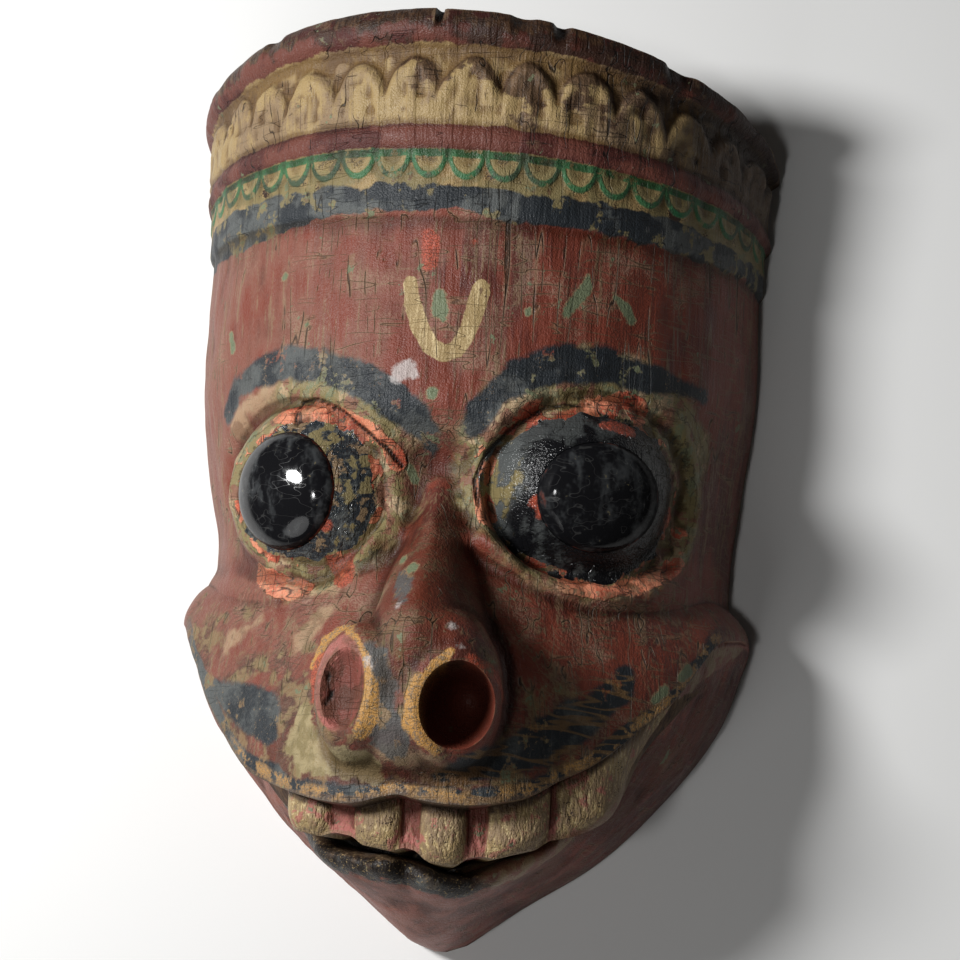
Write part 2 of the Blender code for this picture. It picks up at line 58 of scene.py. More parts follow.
RIM_DROP = 0.030
RING_TILT = 0.005
TOP_DROP = 0.036
TOP_TILT = 0.009
BAND_TOP = CROWN_TOP - 0.0185
PETAL_PEAK = CROWN_TOP - 0.0235
BAND_BOTTOM = CROWN_TOP - 0.0590
SCALLOP_TOP = CROWN_TOP - 0.0725
SCALLOP_BOTTOM = CROWN_TOP - 0.0870
BLUE_BOTTOM = CROWN_TOP - 0.1070
MOULDING_PROUD = 0.0060
FILLET_PROUD = 0.0055
BLUE_PROUD = 0.0025
PETAL_PITCH = math.radians(11.7)
PETAL_START = math.radians(3.7)
PETAL_RELIEF = 0.0045
SCALLOP_PITCH = math.radians(7.6)
SCALLOP_RELIEF = 0.0018

# Eyes: side -1 is on the viewer's left, side 1 on the right
SIDES = (-1.0, 1.0)
EYE_PLACE = {-1.0: (-0.060, -0.0055), 1.0: (0.066, 0.000)}
EYE_FORWARD = 0.088
EYE_RADIUS = 0.050
EYE_TURN = math.radians(25.0)
EYE_DROP = {-1.0: math.radians(6.0), 1.0: math.radians(12.0)}
LID = {-1.0: (46.7, 11.3, 4.7, -1.0), 1.0: (64.0, 0.5, 10.4, 0.8)}
LID_THICK = 0.0035
PUPIL = {-1.0: 0.0300, 1.0: 0.0275}
PUPIL_STRETCH = {-1.0: 1.0, 1.0: 1.15}
DOME_PROUD = 0.003
POCKET_DEPTH = 0.0025
SOCKET_TURN = math.radians(36.0)
SOCKET_HALF_TURN = math.radians(26.0)
SOCKET_HALF_HEIGHT = 0.053
SOCKET_SAG = 0.005
SOCKET_INNER_FLOOR = 0.110
SOCKET_OUTER_FLOOR = 0.137

NOSE_FORWARD = 0.198
NOSE_REF = NOSE_FORWARD - 0.003
WING_FORWARD = NOSE_FORWARD - 0.002
# Wings and nostrils, the viewer's left first: middle, half-sizes and, for a nostril, its depth
WINGS = (
    ((-0.0290, -0.1150), (0.0235, 0.0355)),
    ((0.0270, -0.1130), (0.0290, 0.0380)),
)
NOSTRILS = (
    ((-0.0300, -0.1130), (0.0145, 0.0255), 0.012),
    ((0.0290, -0.1230), (0.0185, 0.0220), 0.048),
)
NOSTRIL_RIM = 0.0024

TOOTH_FORWARD = 0.153
TOOTH_RELIEF = 0.0066
SLOT_FORWARD = 0.104
LIP_ROLL = 0.021
LIP_ROLL_HEIGHT = 0.019
LIP_FOOT = 0.0145
STEP = 0.0012
GUM_RISE = 0.0032
FOREHEAD_RAIL = 0.062
TEETH = ((-27.0, -15.3), (-10.5, -0.9), (2.3, 11.5), (15.0, 27.2), (28.4, 62.0))
LIP_EDGE = (
    (-90.0, -0.0660), (-78.0, -0.0680), (-69.0, -0.0730), (-57.0, -0.1000), (-47.0, -0.1270),
    (-36.0, -0.1500), (-25.0, -0.1610), (-19.0, -0.1650), (-13.0, -0.1680), (-8.0, -0.1680),
    (-4.0, -0.1650), (-1.0, -0.1633), (2.0, -0.1650), (6.0, -0.1665), (11.0, -0.1668),
    (17.0, -0.1640), (22.0, -0.1600), (27.0, -0.1525), (34.0, -0.1430), (40.0, -0.1320),
    (46.0, -0.1195), (51.0, -0.1090), (57.0, -0.0940), (64.0, -0.0750), (74.0, -0.0680),
    (90.0, -0.0660),
)

# Notches in the crown's upper edge: turn and half-width in degrees, depth
RIM_NOTCHES = (
    (-2.5, 0.6, 0.0060),
    (13.5, 2.2, 0.0035),
    (21.0, 1.4, 0.0050),
    (46.0, 3.0, 0.0040),
    (-41.0, 2.0, 0.0030),
)

# Zones of rows on the carved face, from the chin up
ZONE_JAW, ZONE_SLOT, ZONE_TEETH, ZONE_FACE = range(4)

# Fineness of the meshes
COLUMNS = 292
HOLLOW_COLUMNS = 90
HOLLOW_ROWS = 100
DOME_SEGMENTS = 128
DOME_STEPS = 40
POCKET_SEGMENTS = 120
NOSTRIL_SEGMENTS = 96
NOSTRIL_STEPS = 12
FOLD_ANGLE = math.radians(48)
DOME_FOLD_ANGLE = math.radians(60)

MM = 1000.0
END_TURN = math.radians(90.0)
TOP = CROWN_TOP + math.hypot(TOP_DROP, TOP_TILT) - TOP_DROP
SHIFT = -(TOP + CHIN_TIP) / 2


# Small maths
def curve(x, *stops):
    """Smooth interpolation through (x, y) stops."""
    xs = np.array([stop[0] for stop in stops])
    ys = np.array([stop[1] for stop in stops])
    slopes = np.gradient(ys, xs)
    x = np.clip(x, xs[0], xs[-1])
    k = np.clip(np.searchsorted(xs, x, side="right") - 1, 0, len(xs) - 2)
    span = xs[k + 1] - xs[k]
    t = (x - xs[k]) / span
    rise = 3 * t**2 - 2 * t**3
    bend_in = (t**3 - 2 * t**2 + t) * span * slopes[k]
    bend_out = (t**3 - t**2) * span * slopes[k + 1]
    return ys[k] * (1 - rise) + ys[k + 1] * rise + bend_in + bend_out


def ramp(x, start, end):
    """Smooth step from 0 at start to 1 at end."""
    t = np.clip((x - start) / (end - start), 0.0, 1.0)
    return t * t * (3 - 2 * t)


def soft_max(a, b, k):
    """Larger of a and b with a rounded join of size k."""
    h = np.clip(0.5 + 0.5 * (a - b) / k, 0.0, 1.0)
    return b * (1 - h) + a * h + k * h * (1 - h)


LATTICE_SIZE = 64
LATTICE_SEED = 41
LATTICE = np.random.default_rng(LATTICE_SEED).random((LATTICE_SIZE, LATTICE_SIZE, LATTICE_SIZE))


def lumps(x, y, z, size):
    """Smooth noise from -1 to 1 with lumps of that size, the same on every run."""
    cells = []
    shares = []
    for axis, value in enumerate((x, y, z)):
        value = np.asarray(value, dtype=float) / size + 31.7 * (axis + 1)
        low = np.floor(value)
        part = value - low
        cells.append(low.astype(int))
        shares.append(part * part * (3 - 2 * part))
    total = 0.0
    for i in (0, 1):
        for j in (0, 1):
            for k in (0, 1):
                spot = [(cell + step) % LATTICE_SIZE for cell, step in zip(cells, (i, j, k))]
                corner = LATTICE[tuple(spot)]
                weight = (shares[0] if i else 1 - shares[0]) * (shares[1] if j else 1 - shares[1])
                total = total + corner * weight * (shares[2] if k else 1 - shares[2])
    return total * 2 - 1


# Radius in mm of the arc along which the turns of painted strokes are measured
ARC = 150.0

# Painted strokes: chains of (turn in degrees, height in mm, half-width in mm)
STROKES = {
    "dark": (
        ((-55.7, 38.6, 2.1), (-51.3, 50.8, 4.3), (-42.4, 56.1, 5.2), (-34.1, 58.0, 5.7), (-26.4, 55.9, 6.2),
         (-20.1, 50.1, 6.1), (-14.1, 44.2, 6.6), (-8.4, 35.7, 7.1), (-4.4, 27.4, 6.6), (-2.2, 20.5, 4.0),
         (-1.6, 14.1, 1.0)),
        ((7.9, 23.9, 3.0), (9.4, 30.9, 5.0), (12.2, 39.3, 5.5), (16.1, 47.6, 6.0), (21.1, 54.9, 6.6),
         (27.3, 59.0, 7.1), (33.8, 61.1, 6.6), (40.6, 59.5, 5.6), (46.3, 57.5, 4.6), (54.1, 57.5, 2.1),
         (60.0, 55.0, 1.0)),
        ((-48.7, -109.3, 4.2), (-40.0, -117.4, 9.2), (-32.1, -124.3, 10.6), (-28.8, -134.2, 4.0)),
        ((6.1, -155.5, 2.4), (8.6, -152.4, 4.3), (12.6, -147.3, 6.3), (17.8, -142.7, 8.2),
         (24.4, -133.2, 9.3), (30.4, -122.0, 8.9), (35.8, -112.2, 6.9), (40.8, -102.4, 5.5),
         (41.7, -95.6, 4.0)),
        ((48.8, -123.5, 3.0), (53.6, -112.3, 3.1), (58.5, -97.9, 3.6), (61.5, -82.8, 2.6),
         (63.8, -71.4, 1.5)),
    ),
    "tilak": (
        ((-6.8, 96.2, 4.1), (-6.1, 86.8, 4.8), (-4.5, 74.7, 5.1), (-1.7, 64.3, 4.8), (1.3, 59.9, 4.5),
         (3.9, 62.6, 4.5), (6.0, 71.4, 4.8), (7.4, 84.4, 5.1), (8.2, 94.3, 4.6)),
    ),
    "green": (
        ((-0.3, 90.0, 3.2), (-0.1, 83.0, 4.6), (0.8, 78.5, 2.0)),
        ((30.0, 104.6, 1.5), (29.8, 98.3, 3.1), (27.0, 89.6, 3.1), (25.8, 84.5, 2.0)),
        ((36.0, 97.5, 1.0), (38.8, 91.7, 3.1), (40.4, 86.1, 2.1)),
        ((18.0, 83.5, 2.0),),
        ((-54.6, 80.8, 1.6), (-53.6, 72.3, 2.1)),
        ((-0.7, 39.5, 3.0),),
        ((-37.2, 105.4, 2.1),),
        ((-30.3, 78.3, 1.4),),
        ((56.1, -89.1, 3.1), (54.0, -94.0, 2.0)),
        ((50.1, -101.0, 2.5), (47.8, -106.7, 2.0)),
        ((-0.7, -53.4, 3.0),),
        ((-3.9, -47.0, 2.3),),
        ((-6.5, 4.0, 2.2), (-5.0, -2.0, 2.0)),
    ),
    "bright": (
        ((-2.9, 118.9, 5.6), (-2.5, 107.4, 4.6)),
        ((6.4, 118.2, 3.1),),
        ((-18.6, -118.2, 2.0), (-19.6, -108.0, 2.4), (-19.0, -97.5, 2.5), (-15.5, -90.8, 1.9)),
        ((-18.2, -119.0, 1.8), (-15.5, -131.0, 1.6)),
        ((9.8, -99.4, 2.4), (12.5, -102.9, 2.9), (14.3, -108.6, 2.9), (15.9, -115.4, 1.9)),
        ((33.2, 28.2, 1.5), (36.3, 28.2, 3.2), (40.1, 27.1, 2.7)),
        ((-22.1, -28.1, 3.3),),
        ((21.3, -12.6, 2.8), (22.5, -19.8, 2.0)),
        ((-22.9, -46.3, 4.6), (-18.9, -54.8, 5.1), (-19.3, -43.7, 4.1)),
    ),
    "salmon": (
        ((-34.0, 29.5, 2.6), (-29.5, 28.4, 5.2), (-24.9, 23.4, 6.2), (-20.5, 19.0, 5.0),
         (-17.6, 16.6, 3.4)),
        ((-27.2, 35.1, 1.5), (-20.5, 29.7, 2.0), (-14.2, 21.3, 2.5), (-10.7, 14.3, 2.5), (-8.9, 6.5, 3.0)),
        ((-41.9, -50.2, 3.6), (-37.2, -56.2, 4.6), (-32.4, -60.2, 4.1), (-28.5, -59.3, 2.5)),
        ((29.7, -52.4, 2.4), (35.0, -53.9, 2.8), (39.2, -53.9, 2.4), (47.0, -47.9, 2.1), (54.0, -40.4, 2.2),
         (58.5, -32.5, 1.8)),
        ((23.2, 18.2, 3.5), (25.7, 26.9, 3.0), (30.1, 35.2, 2.5), (34.5, 41.9, 3.0), (40.4, 44.2, 3.1),
         (44.3, 40.5, 2.1)),
        ((15.7, -24.3, 2.0), (11.6, -19.4, 2.5), (10.1, -11.9, 2.0), (10.7, -1.2, 2.5), (12.4, 8.5, 2.5)),
    ),
    "tan": (
        ((-40.6, 27.0, 4.2), (-34.3, 27.6, 5.2), (-31.7, 27.4, 3.1)),
        ((-53.0, 28.0, 4.0), (-48.5, 38.0, 6.5), (-40.0, 44.0, 6.5), (-30.0, 45.0, 4.5)),
        ((26.0, 48.0, 3.5), (36.0, 50.0, 4.5), (46.0, 47.0, 5.0), (54.0, 40.0, 4.5)),
        ((12.7, 22.6, 3.0), (14.6, 27.6, 4.0), (17.8, 31.3, 5.0), (21.3, 27.2, 5.0), (17.4, 19.4, 4.0)),
        ((15.5, -20.6, 4.0), (19.4, -32.7, 5.5), (24.1, -42.3, 6.0), (27.8, -50.1, 4.5)),
        ((-3.0, -146.0, 4.0), (0.2, -145.8, 4.8), (4.6, -148.0, 4.8), (6.9, -150.2, 3.8)),
        ((-20.4, -71.0, 5.0), (-26.3, -86.4, 6.1)),
        ((-47.7, -84.0, 6.3), (-39.3, -74.5, 5.2)),
    ),
    "olive": (
        ((-21.3, -125.0, 5.0), (-20.3, -140.6, 10.9), (-14.1, -149.1, 8.0), (-5.4, -150.2, 5.8)),
    ),
    "ochre": (
        ((-20.6, -100.0, 1.4), (-19.5, -87.0, 2.5), (-16.0, -81.4, 3.0), (-9.5, -84.5, 2.9),
         (-6.7, -92.8, 2.9), (-5.1, -102.6, 2.4), (-4.0, -116.7, 3.3), (-3.7, -128.5, 3.3),
         (-5.3, -137.8, 2.4)),
        ((7.0, -97.3, 2.8), (5.2, -103.3, 3.3), (3.6, -111.1, 3.8), (2.4, -119.7, 4.3), (2.5, -130.0, 4.3),
         (4.0, -139.8, 3.3), (5.7, -143.8, 2.4)),
    ),
    "slate": (
        ((-4.6, -96.1, 3.8), (-3.3, -114.2, 6.6), (-1.6, -128.2, 7.6), (-0.8, -141.6, 6.7)),
        ((-1.8, -65.9, 3.4), (-1.8, -57.1, 3.4), (-2.2, -71.5, 2.9)),
    ),
    "white": (
        ((-8.1, 48.6, 4.4), (-6.1, 51.3, 5.2), (-4.7, 48.2, 3.2)),
        ((8.4, -95.0, 1.4),),
        ((6.8, -84.7, 0.9),),
        ((-1.5, -75.2, 1.4),),
        ((-38.9, 92.1, 1.0),),
        ((-4.5, -102.5, 1.2), (-3.9, -106.2, 0.9)),
    ),
    "crack": (
        ((-31.5, 38.0, 0.6), (-30.4, 24.5, 0.9)),
        ((-31.5, 38.0, 0.6), (-26.5, 38.0, 0.6), (-20.2, 31.0, 0.7), (-14.9, 20.5, 1.0), (-10.7, 11.9, 1.0),
         (-8.1, 4.7, 1.0)),
        ((10.1, -14.6, 0.9), (9.1, -1.7, 0.9), (11.4, 12.4, 0.9), (16.2, 24.4, 0.7), (23.2, 36.4, 0.6),
         (32.2, 39.5, 0.6)),
        ((-11.0, -108.0, 0.5), (-10.2, -117.0, 1.0), (-11.0, -124.0, 0.5)),
    ),
}


def stroke_field(turn, v, strokes):
    """How far inside the nearest of some brush strokes a point is, in mm, negative outside."""
    across = np.radians(np.asarray(turn)) * ARC
    best = np.full(np.shape(across), -60.0)
    for stroke in strokes:
        spots = [(math.radians(place) * ARC, height, wide) for place, height, wide in stroke]
        pairs = list(zip(spots, spots[1:])) or [(spots[0], spots[0])]
        for (x0, y0, w0), (x1, y1, w1) in pairs:
            length = max((x1 - x0) ** 2 + (y1 - y0) ** 2, 1e-6)
            share = np.clip(((across - x0) * (x1 - x0) + (v - y0) * (y1 - y0)) / length, 0.0, 1.0)
            gap = np.hypot(across - x0 - share * (x1 - x0), v - y0 - share * (y1 - y0))
            best = np.maximum(best, w0 + (w1 - w0) * share - gap)
    return best


# The carved face
def half_width(v):
    """Outline of the back rim: half the mask's width at height v."""
    return curve(
        v,
        (CHIN_TIP, 0.004), (-0.233, 0.013), (-0.226, 0.023), (-0.212, 0.041), (-0.188, 0.075),
        (-0.150, 0.113), (-0.110, 0.141), (-0.085, 0.150), (-0.064, 0.154), (-0.050, 0.144),
        (-0.030, 0.143), (0.010, 0.147), (0.060, FOREHEAD_HALF_WIDTH),
        (BLUE_BOTTOM, FOREHEAD_HALF_WIDTH), (CROWN_TOP, CROWN_HALF_WIDTH),
    )


def front_depth(v):
    """Depth of the plain face, without nose, muzzle and teeth, at its middle."""
    return curve(
        v,
        (CHIN_TIP, 0.012), (-0.232, 0.036), (-0.220, 0.080), (-0.208, 0.107), (-0.195, 0.122),
        (-0.170, 0.138), (-0.130, 0.146), (0.000, FOREHEAD_DEPTH), (0.135, FOREHEAD_DEPTH + 0.001),
        (CROWN_TOP, FOREHEAD_DEPTH + 0.004),
    )


def oval(turn, a, b):
    """Distance from the long axis to an ellipse with half-width a and depth b."""
    return 1.0 / np.sqrt((np.sin(turn) / a) ** 2 + (np.cos(turn) / b) ** 2)


def plain_radius(turn, v):
    """Elliptical cross-section of the block."""
    waist = LEFT_WAIST * np.exp(-(((v + 0.028) / 0.034) ** 2)) + LEFT_JAW_IN * ramp(-v, 0.06, 0.10)
    return oval(turn, half_width(v) - np.where(turn < 0, waist, 0.0), front_depth(v))


def chin_lean(v):
    """How far the chin is drawn to the viewer's left at height v."""
    return CHIN_LEAN * ramp(-v, -LEAN_START, -CHIN_TIP)


def ring(turn, v, drop=0.0, tilt=RING_TILT):
    """Height of a crown ring whose middle is at v and whose ends fall by drop."""
    return v - drop * (1 - np.cos(turn)) - tilt * np.sin(turn)


def crown_level(turn, v):
    """Height as it would be with level crown rings."""
    rim = ring(turn, CROWN_TOP, RIM_DROP)
    low = ring(turn, BLUE_BOTTOM)
    return BLUE_BOTTOM + (v - low) / (rim - low) * (CROWN_TOP - BLUE_BOTTOM)


def lip_edge(turn):
    """Height of the muzzle's sharp lower edge."""
    return curve(np.degrees(turn), *LIP_EDGE)


def lip_radius(turn):
    """Distance of the muzzle's lower edge from the long axis."""
    radius = curve(
        np.abs(np.degrees(turn)),
        (0.0, 0.165), (15.0, 0.165), (25.0, 0.157), (36.0, 0.153), (57.0, 0.155), (72.0, 0.157),
        (90.0, 0.1545),
    )
    return radius - LEFT_JAW_IN * ramp(-np.degrees(turn), 30.0, 50.0)


def gum_rise(turn):
    """How far above the teeth's ends the gums between them stop."""
    degrees = np.degrees(turn)
    cover = np.zeros(np.shape(turn))
    for start, end in TEETH:
        across = np.abs(degrees - (start + end) / 2) / ((end - start) / 2)
        cover = np.maximum(cover, 1 - ramp(across, 0.50, 1.20))
    return GUM_RISE * (1 - cover) * ramp(degrees, -32.0, -26.0) * (1 - ramp(degrees, 44.0, 52.0))


def teeth_bottom(turn):
    """Lower limit of the row of teeth, or just under the lip edge beyond it."""
    row = curve(
        np.degrees(turn),
        (-90.0, -0.060), (-54.0, -0.125), (-47.0, -0.152), (-35.0, -0.173), (-24.0, -0.181),
        (-12.0, -0.186), (0.0, -0.191), (8.0, -0.195), (21.0, -0.188), (35.0, -0.175),
        (47.0, -0.154), (54.0, -0.127), (90.0, -0.060),
    )
    return np.minimum(row + gum_rise(turn), lip_edge(turn) - 3 * STEP)


def slot_height(turn):
    """Height of the open mouth between the teeth and the lower lip."""
    away = np.abs(np.degrees(turn))
    return 0.0014 + 0.0022 * ramp(away, 2.0, 12.0) * (1 - ramp(away, 18.0, 32.0)) + gum_rise(turn)


def cheek_line(turn):
    """Crease where the eye region meets the muzzle."""
    return curve(
        np.abs(np.degrees(turn)),
        (0.0, -0.030), (14.0, -0.044), (36.0, -0.062), (55.0, -0.058), (70.0, -0.049),
        (90.0, -0.047),
    )


def petal_shape(turn, level):
    """How far a point is inside a crown petal, negative outside, and how far across it (-0.5 to 0.5)."""
    uneven = 0.10 * lumps(turn * 6.0, level * 40.0, 0.0, 1.0)
    across = np.mod((turn - PETAL_START) / PETAL_PITCH + 0.5 + uneven, 1.0) - 0.5
    foot = BAND_BOTTOM + 0.002
    up = np.maximum(level - foot, 0.0) / (PETAL_PEAK - foot + 0.003 * lumps(turn * 4.0, 0.5, 0.0, 1.0))
    reach = (np.abs(across) / 0.54) ** 1.9 + up**2.3
    return (1.0 - reach**0.5) * 0.016, across


def scallop_shape(turn, level):
    """How far a point is inside the hanging scallops, negative outside."""
    across = np.mod(turn / SCALLOP_PITCH, 1.0) - 0.5
    down = np.maximum(SCALLOP_TOP - 0.002 - level, 0.0) / (SCALLOP_TOP - 0.002 - SCALLOP_BOTTOM)
    reach = (np.abs(across) / 0.46) ** 2.0 + down**2.0
    return (1.0 - reach**0.5) * 0.010


def roll(level, low, high):
    """Half-round moulding between two levels, 1 at its crest."""
    t = np.clip((level - low) / (high - low), 0.0, 1.0)
    return (4.0 * t * (1.0 - t)) ** 0.6


def crown_relief(turn, v):
    """Mouldings, petals and scallops of the crown, above the plain block."""
    level = crown_level(turn, v)
    relief = BLUE_PROUD * ramp(level, BLUE_BOTTOM - 0.0015, BLUE_BOTTOM + 0.0015)
    relief += (FILLET_PROUD - 0.002) * roll(level, SCALLOP_TOP, BAND_BOTTOM)
    relief += 0.0015 * ramp(level, BAND_BOTTOM - 0.002, BAND_BOTTOM)
    relief += MOULDING_PROUD * roll(level, BAND_TOP, CROWN_TOP + 0.002)
    relief += 0.0010 * ramp(level, BAND_TOP, BAND_TOP + 0.003)

    inside, across = petal_shape(turn, level)
    fade = 1 - ramp(np.abs(turn), END_TURN - math.radians(7.0), END_TURN - math.radians(2.0))
    on_petal = fade * ramp(inside, -0.0006, 0.0022) * ramp(level, BAND_BOTTOM, BAND_BOTTOM + 0.003)
    rib = 0.35 + 0.65 * np.exp(-((across / 0.11) ** 2))
    hollow = ramp(inside, 0.0025, 0.007) * (1.0 - 0.8 * rib)
    belly = 0.7 + 0.3 * ramp(level, BAND_BOTTOM, PETAL_PEAK)
    relief += on_petal * PETAL_RELIEF * belly * (1 - 0.5 * hollow)

    hang = scallop_shape(turn, level)
    on_scallop = ramp(hang, -0.0004, 0.0014) * ramp(SCALLOP_TOP - level, -0.001, 0.001)
    relief += fade * SCALLOP_RELIEF * on_scallop * (1 - 0.75 * ramp(hang, 0.0016, 0.0040))
    return relief


def eye_centre(side):
    """Middle of an eyeball: side is -1 on the viewer's left, 1 on the right."""
    return np.array([*EYE_PLACE[side], EYE_FORWARD])


def frame_along(direction):
    """Rotation that takes +Z to direction and keeps local Y upright on the face."""
    z_axis = direction / np.linalg.norm(direction)
    x_axis = np.cross((0.0, 1.0, 0.0), z_axis)
    x_axis = x_axis / np.linalg.norm(x_axis)
    y_axis = np.cross(z_axis, x_axis)
    return np.stack([x_axis, y_axis, z_axis], axis=1)


def eye_axis(side):
    """Direction in which an eye looks."""
    drop = EYE_DROP[side]
    flat = math.cos(drop)
    return np.array([side * math.sin(EYE_TURN) * flat, -math.sin(drop), math.cos(EYE_TURN) * flat])


def eye_angles(x, v, z, side):
    """Angle off the eye's axis, and angle round it from the nose (0) by the brow (90), in degrees."""
    basis = frame_along(eye_axis(side))
    centre = eye_centre(side)
    gap = (x - centre[0], v - centre[1], z - centre[2])
    local = [basis[0, k] * gap[0] + basis[1, k] * gap[1] + basis[2, k] * gap[2] for k in range(3)]
    off = np.degrees(np.arctan2(np.hypot(local[0], local[1]), local[2]))
    around = np.degrees(np.arctan2(local[1], -side * local[0]))
    return off, around


def lid_angle(around, side):
    """Angle off the axis at which the lid's edge lies."""
    mean, first, second, lift = LID[side]
    around = np.radians(around)
    return mean + first * np.cos(around) + second * np.cos(2 * around) + lift * np.sin(around)


def eye_distance(x, v, z):
    """Distance outside the nearer eye's lid edge in mm, negative on the eyeball."""
    nearest = np.full(np.shape(x), 99.0)
    for side in SIDES:
        off, around = eye_angles(x, v, z, side)
        centre = eye_centre(side)
        away = np.sqrt((x - centre[0]) ** 2 + (v - centre[1]) ** 2 + (z - centre[2]) ** 2)
        beyond = np.radians(off - lid_angle(around, side)) * EYE_RADIUS * MM
        beyond = np.maximum(beyond, np.abs(away - EYE_RADIUS) * MM - 6.0)
        nearest = np.minimum(nearest, np.where(z > 0.03, beyond, 99.0))
    return nearest


def ball_radius(turn, v, side, radius):
    """Distance from the long axis to an eyeball of that radius, or zero off it."""
    centre = eye_centre(side)
    along = centre[0] * np.sin(turn) + centre[2] * np.cos(turn)
    left_over = along**2 - (centre[0] ** 2 + centre[2] ** 2 + (v - centre[1]) ** 2 - radius**2)
    return np.where(left_over > 0, along + np.sqrt(np.maximum(left_over, 0.0)), 0.0)


def eyeball(turn, v, side):
    """An eyeball with a thicker lid round its back."""
    ball = ball_radius(turn, v, side, EYE_RADIUS)
    lid = ball_radius(turn, v, side, EYE_RADIUS + LID_THICK)
    off, around = eye_angles(lid * np.sin(turn), v, lid * np.cos(turn), side)
    edge = lid_angle(around, side)
    share = ramp(off, edge, edge + 6.0)
    share = np.where(ball > 0, share, 1.0)
    return ball * (1 - share) + lid * share


def carve_sockets(radius, turn, v):
    """Sink the sockets and raise the eyeballs in them."""
    for side in SIDES:
        across = (turn * side - SOCKET_TURN) / SOCKET_HALF_TURN
        up = (v - eye_centre(side)[1] + SOCKET_SAG) / SOCKET_HALF_HEIGHT
        away = np.sqrt(across**2 + up**2)
        floor_share = ramp(turn * side, math.radians(8.0), math.radians(42.0))
        floor = SOCKET_INNER_FLOOR + (SOCKET_OUTER_FLOOR - SOCKET_INNER_FLOOR) * floor_share
        depth = 1 - ramp(away, 0.80, 1.04)
        radius = radius * (1 - depth) + np.minimum(floor, radius) * depth
        radius = soft_max(radius, eyeball(turn, v, side), 0.002)
    return radius


def raise_to(base, top, share):
    """Lift a surface part of the way to a higher one."""
    return base + np.maximum(top - base, 0.0) * share


def nose(radius, turn, v):
    """Ridge, tip and two nostril wings, standing on the face."""
    across = NOSE_REF * np.tan(np.clip(turn, -1.2, 1.2))
    middle = curve(v, (-0.16, -0.001), (-0.12, -0.001), (-0.085, 0.006), (-0.05, 0.005), (0.0, 0.003))
    crest = curve(
        v,
        (-0.165, NOSE_FORWARD - 0.052), (-0.155, NOSE_FORWARD - 0.034),
        (-0.147, NOSE_FORWARD - 0.017), (-0.136, NOSE_FORWARD - 0.007),
        (-0.110, NOSE_FORWARD - 0.004), (-0.085, NOSE_FORWARD), (-0.066, NOSE_FORWARD - 0.015),
        (-0.037, NOSE_FORWARD - 0.047), (0.000, NOSE_FORWARD - 0.078), (0.020, NOSE_FORWARD - 0.098),
    )
    breadth = curve(
        v,
        (-0.165, 0.026), (-0.12, 0.030), (-0.09, 0.040), (-0.06, 0.036), (-0.03, 0.026),
        (0.01, 0.010),
    )
    power = curve(v, (-0.165, 1.8), (-0.14, 2.2), (-0.12, 2.8), (-0.09, 1.9), (-0.06, 1.4), (0.01, 1.3))
    flank = np.clip(1.0 - (np.abs(across - middle) / breadth) ** power, 0.0, 1.0)
    radius = raise_to(radius, crest, flank)
    for centre, half in WINGS:
        away = ((across - centre[0]) / half[0]) ** 2 + ((v - centre[1]) / half[1]) ** 2
        radius = raise_to(radius, WING_FORWARD, np.clip(1.0 - away, 0.0, 1.0) ** 0.42)
    for centre, half, _ in NOSTRILS:
        away = np.hypot((across - centre[0]) / half[0], (v - centre[1]) / half[1])
        radius = radius + NOSTRIL_RIM * np.exp(-(((away - 1.16) / 0.15) ** 2))
    return radius


def muzzle(radius, turn, v):
    """Cheeks and upper lip swelling down to the sharp lip edge."""
    top = cheek_line(turn)
    low = lip_edge(turn)
    along = np.clip((top - v) / (top - low), 0.0, 1.0)
    away = np.abs(np.degrees(turn))
    start = curve(away, (0.0, 0.124), (15.0, 0.128), (36.0, 0.136), (60.0, 0.141), (90.0, 0.143))
    swell = start + (lip_radius(turn) - start) * np.sin(along * math.pi / 2) ** 0.9
    share = ramp(top + 0.010 - v, 0.0, 0.014)
    return radius * (1 - share) + swell * share


def teeth(jaw, turn, v):
    """The row of teeth under the lip, with sunken gums between them."""
    degrees = np.degrees(turn)
    reach = ramp(degrees, -36.0, -22.0) * (1 - ramp(degrees, 36.0, 58.0))
    gum = jaw + (TOOTH_FORWARD - TOOTH_RELIEF - jaw) * reach
    surface = gum
    low = teeth_bottom(turn)
    high = lip_edge(turn)
    for start, end in TEETH:
        across = np.clip((degrees - (start + end) / 2) / ((end - start) / 2), -1.0, 1.0)
        round_side = (1.0 - np.abs(across) ** 2.6) ** 0.55
        bottom = low + 0.0032 * np.abs(across) ** 2.6
        share = np.clip((v - bottom) / (high - bottom), 0.0, 1.0)
        belly = ramp(v - bottom, -0.0005, 0.008) ** 0.5 * (0.86 + 0.14 * np.sin(share * math.pi))
        surface = surface + TOOTH_RELIEF * reach * round_side * belly
    return surface


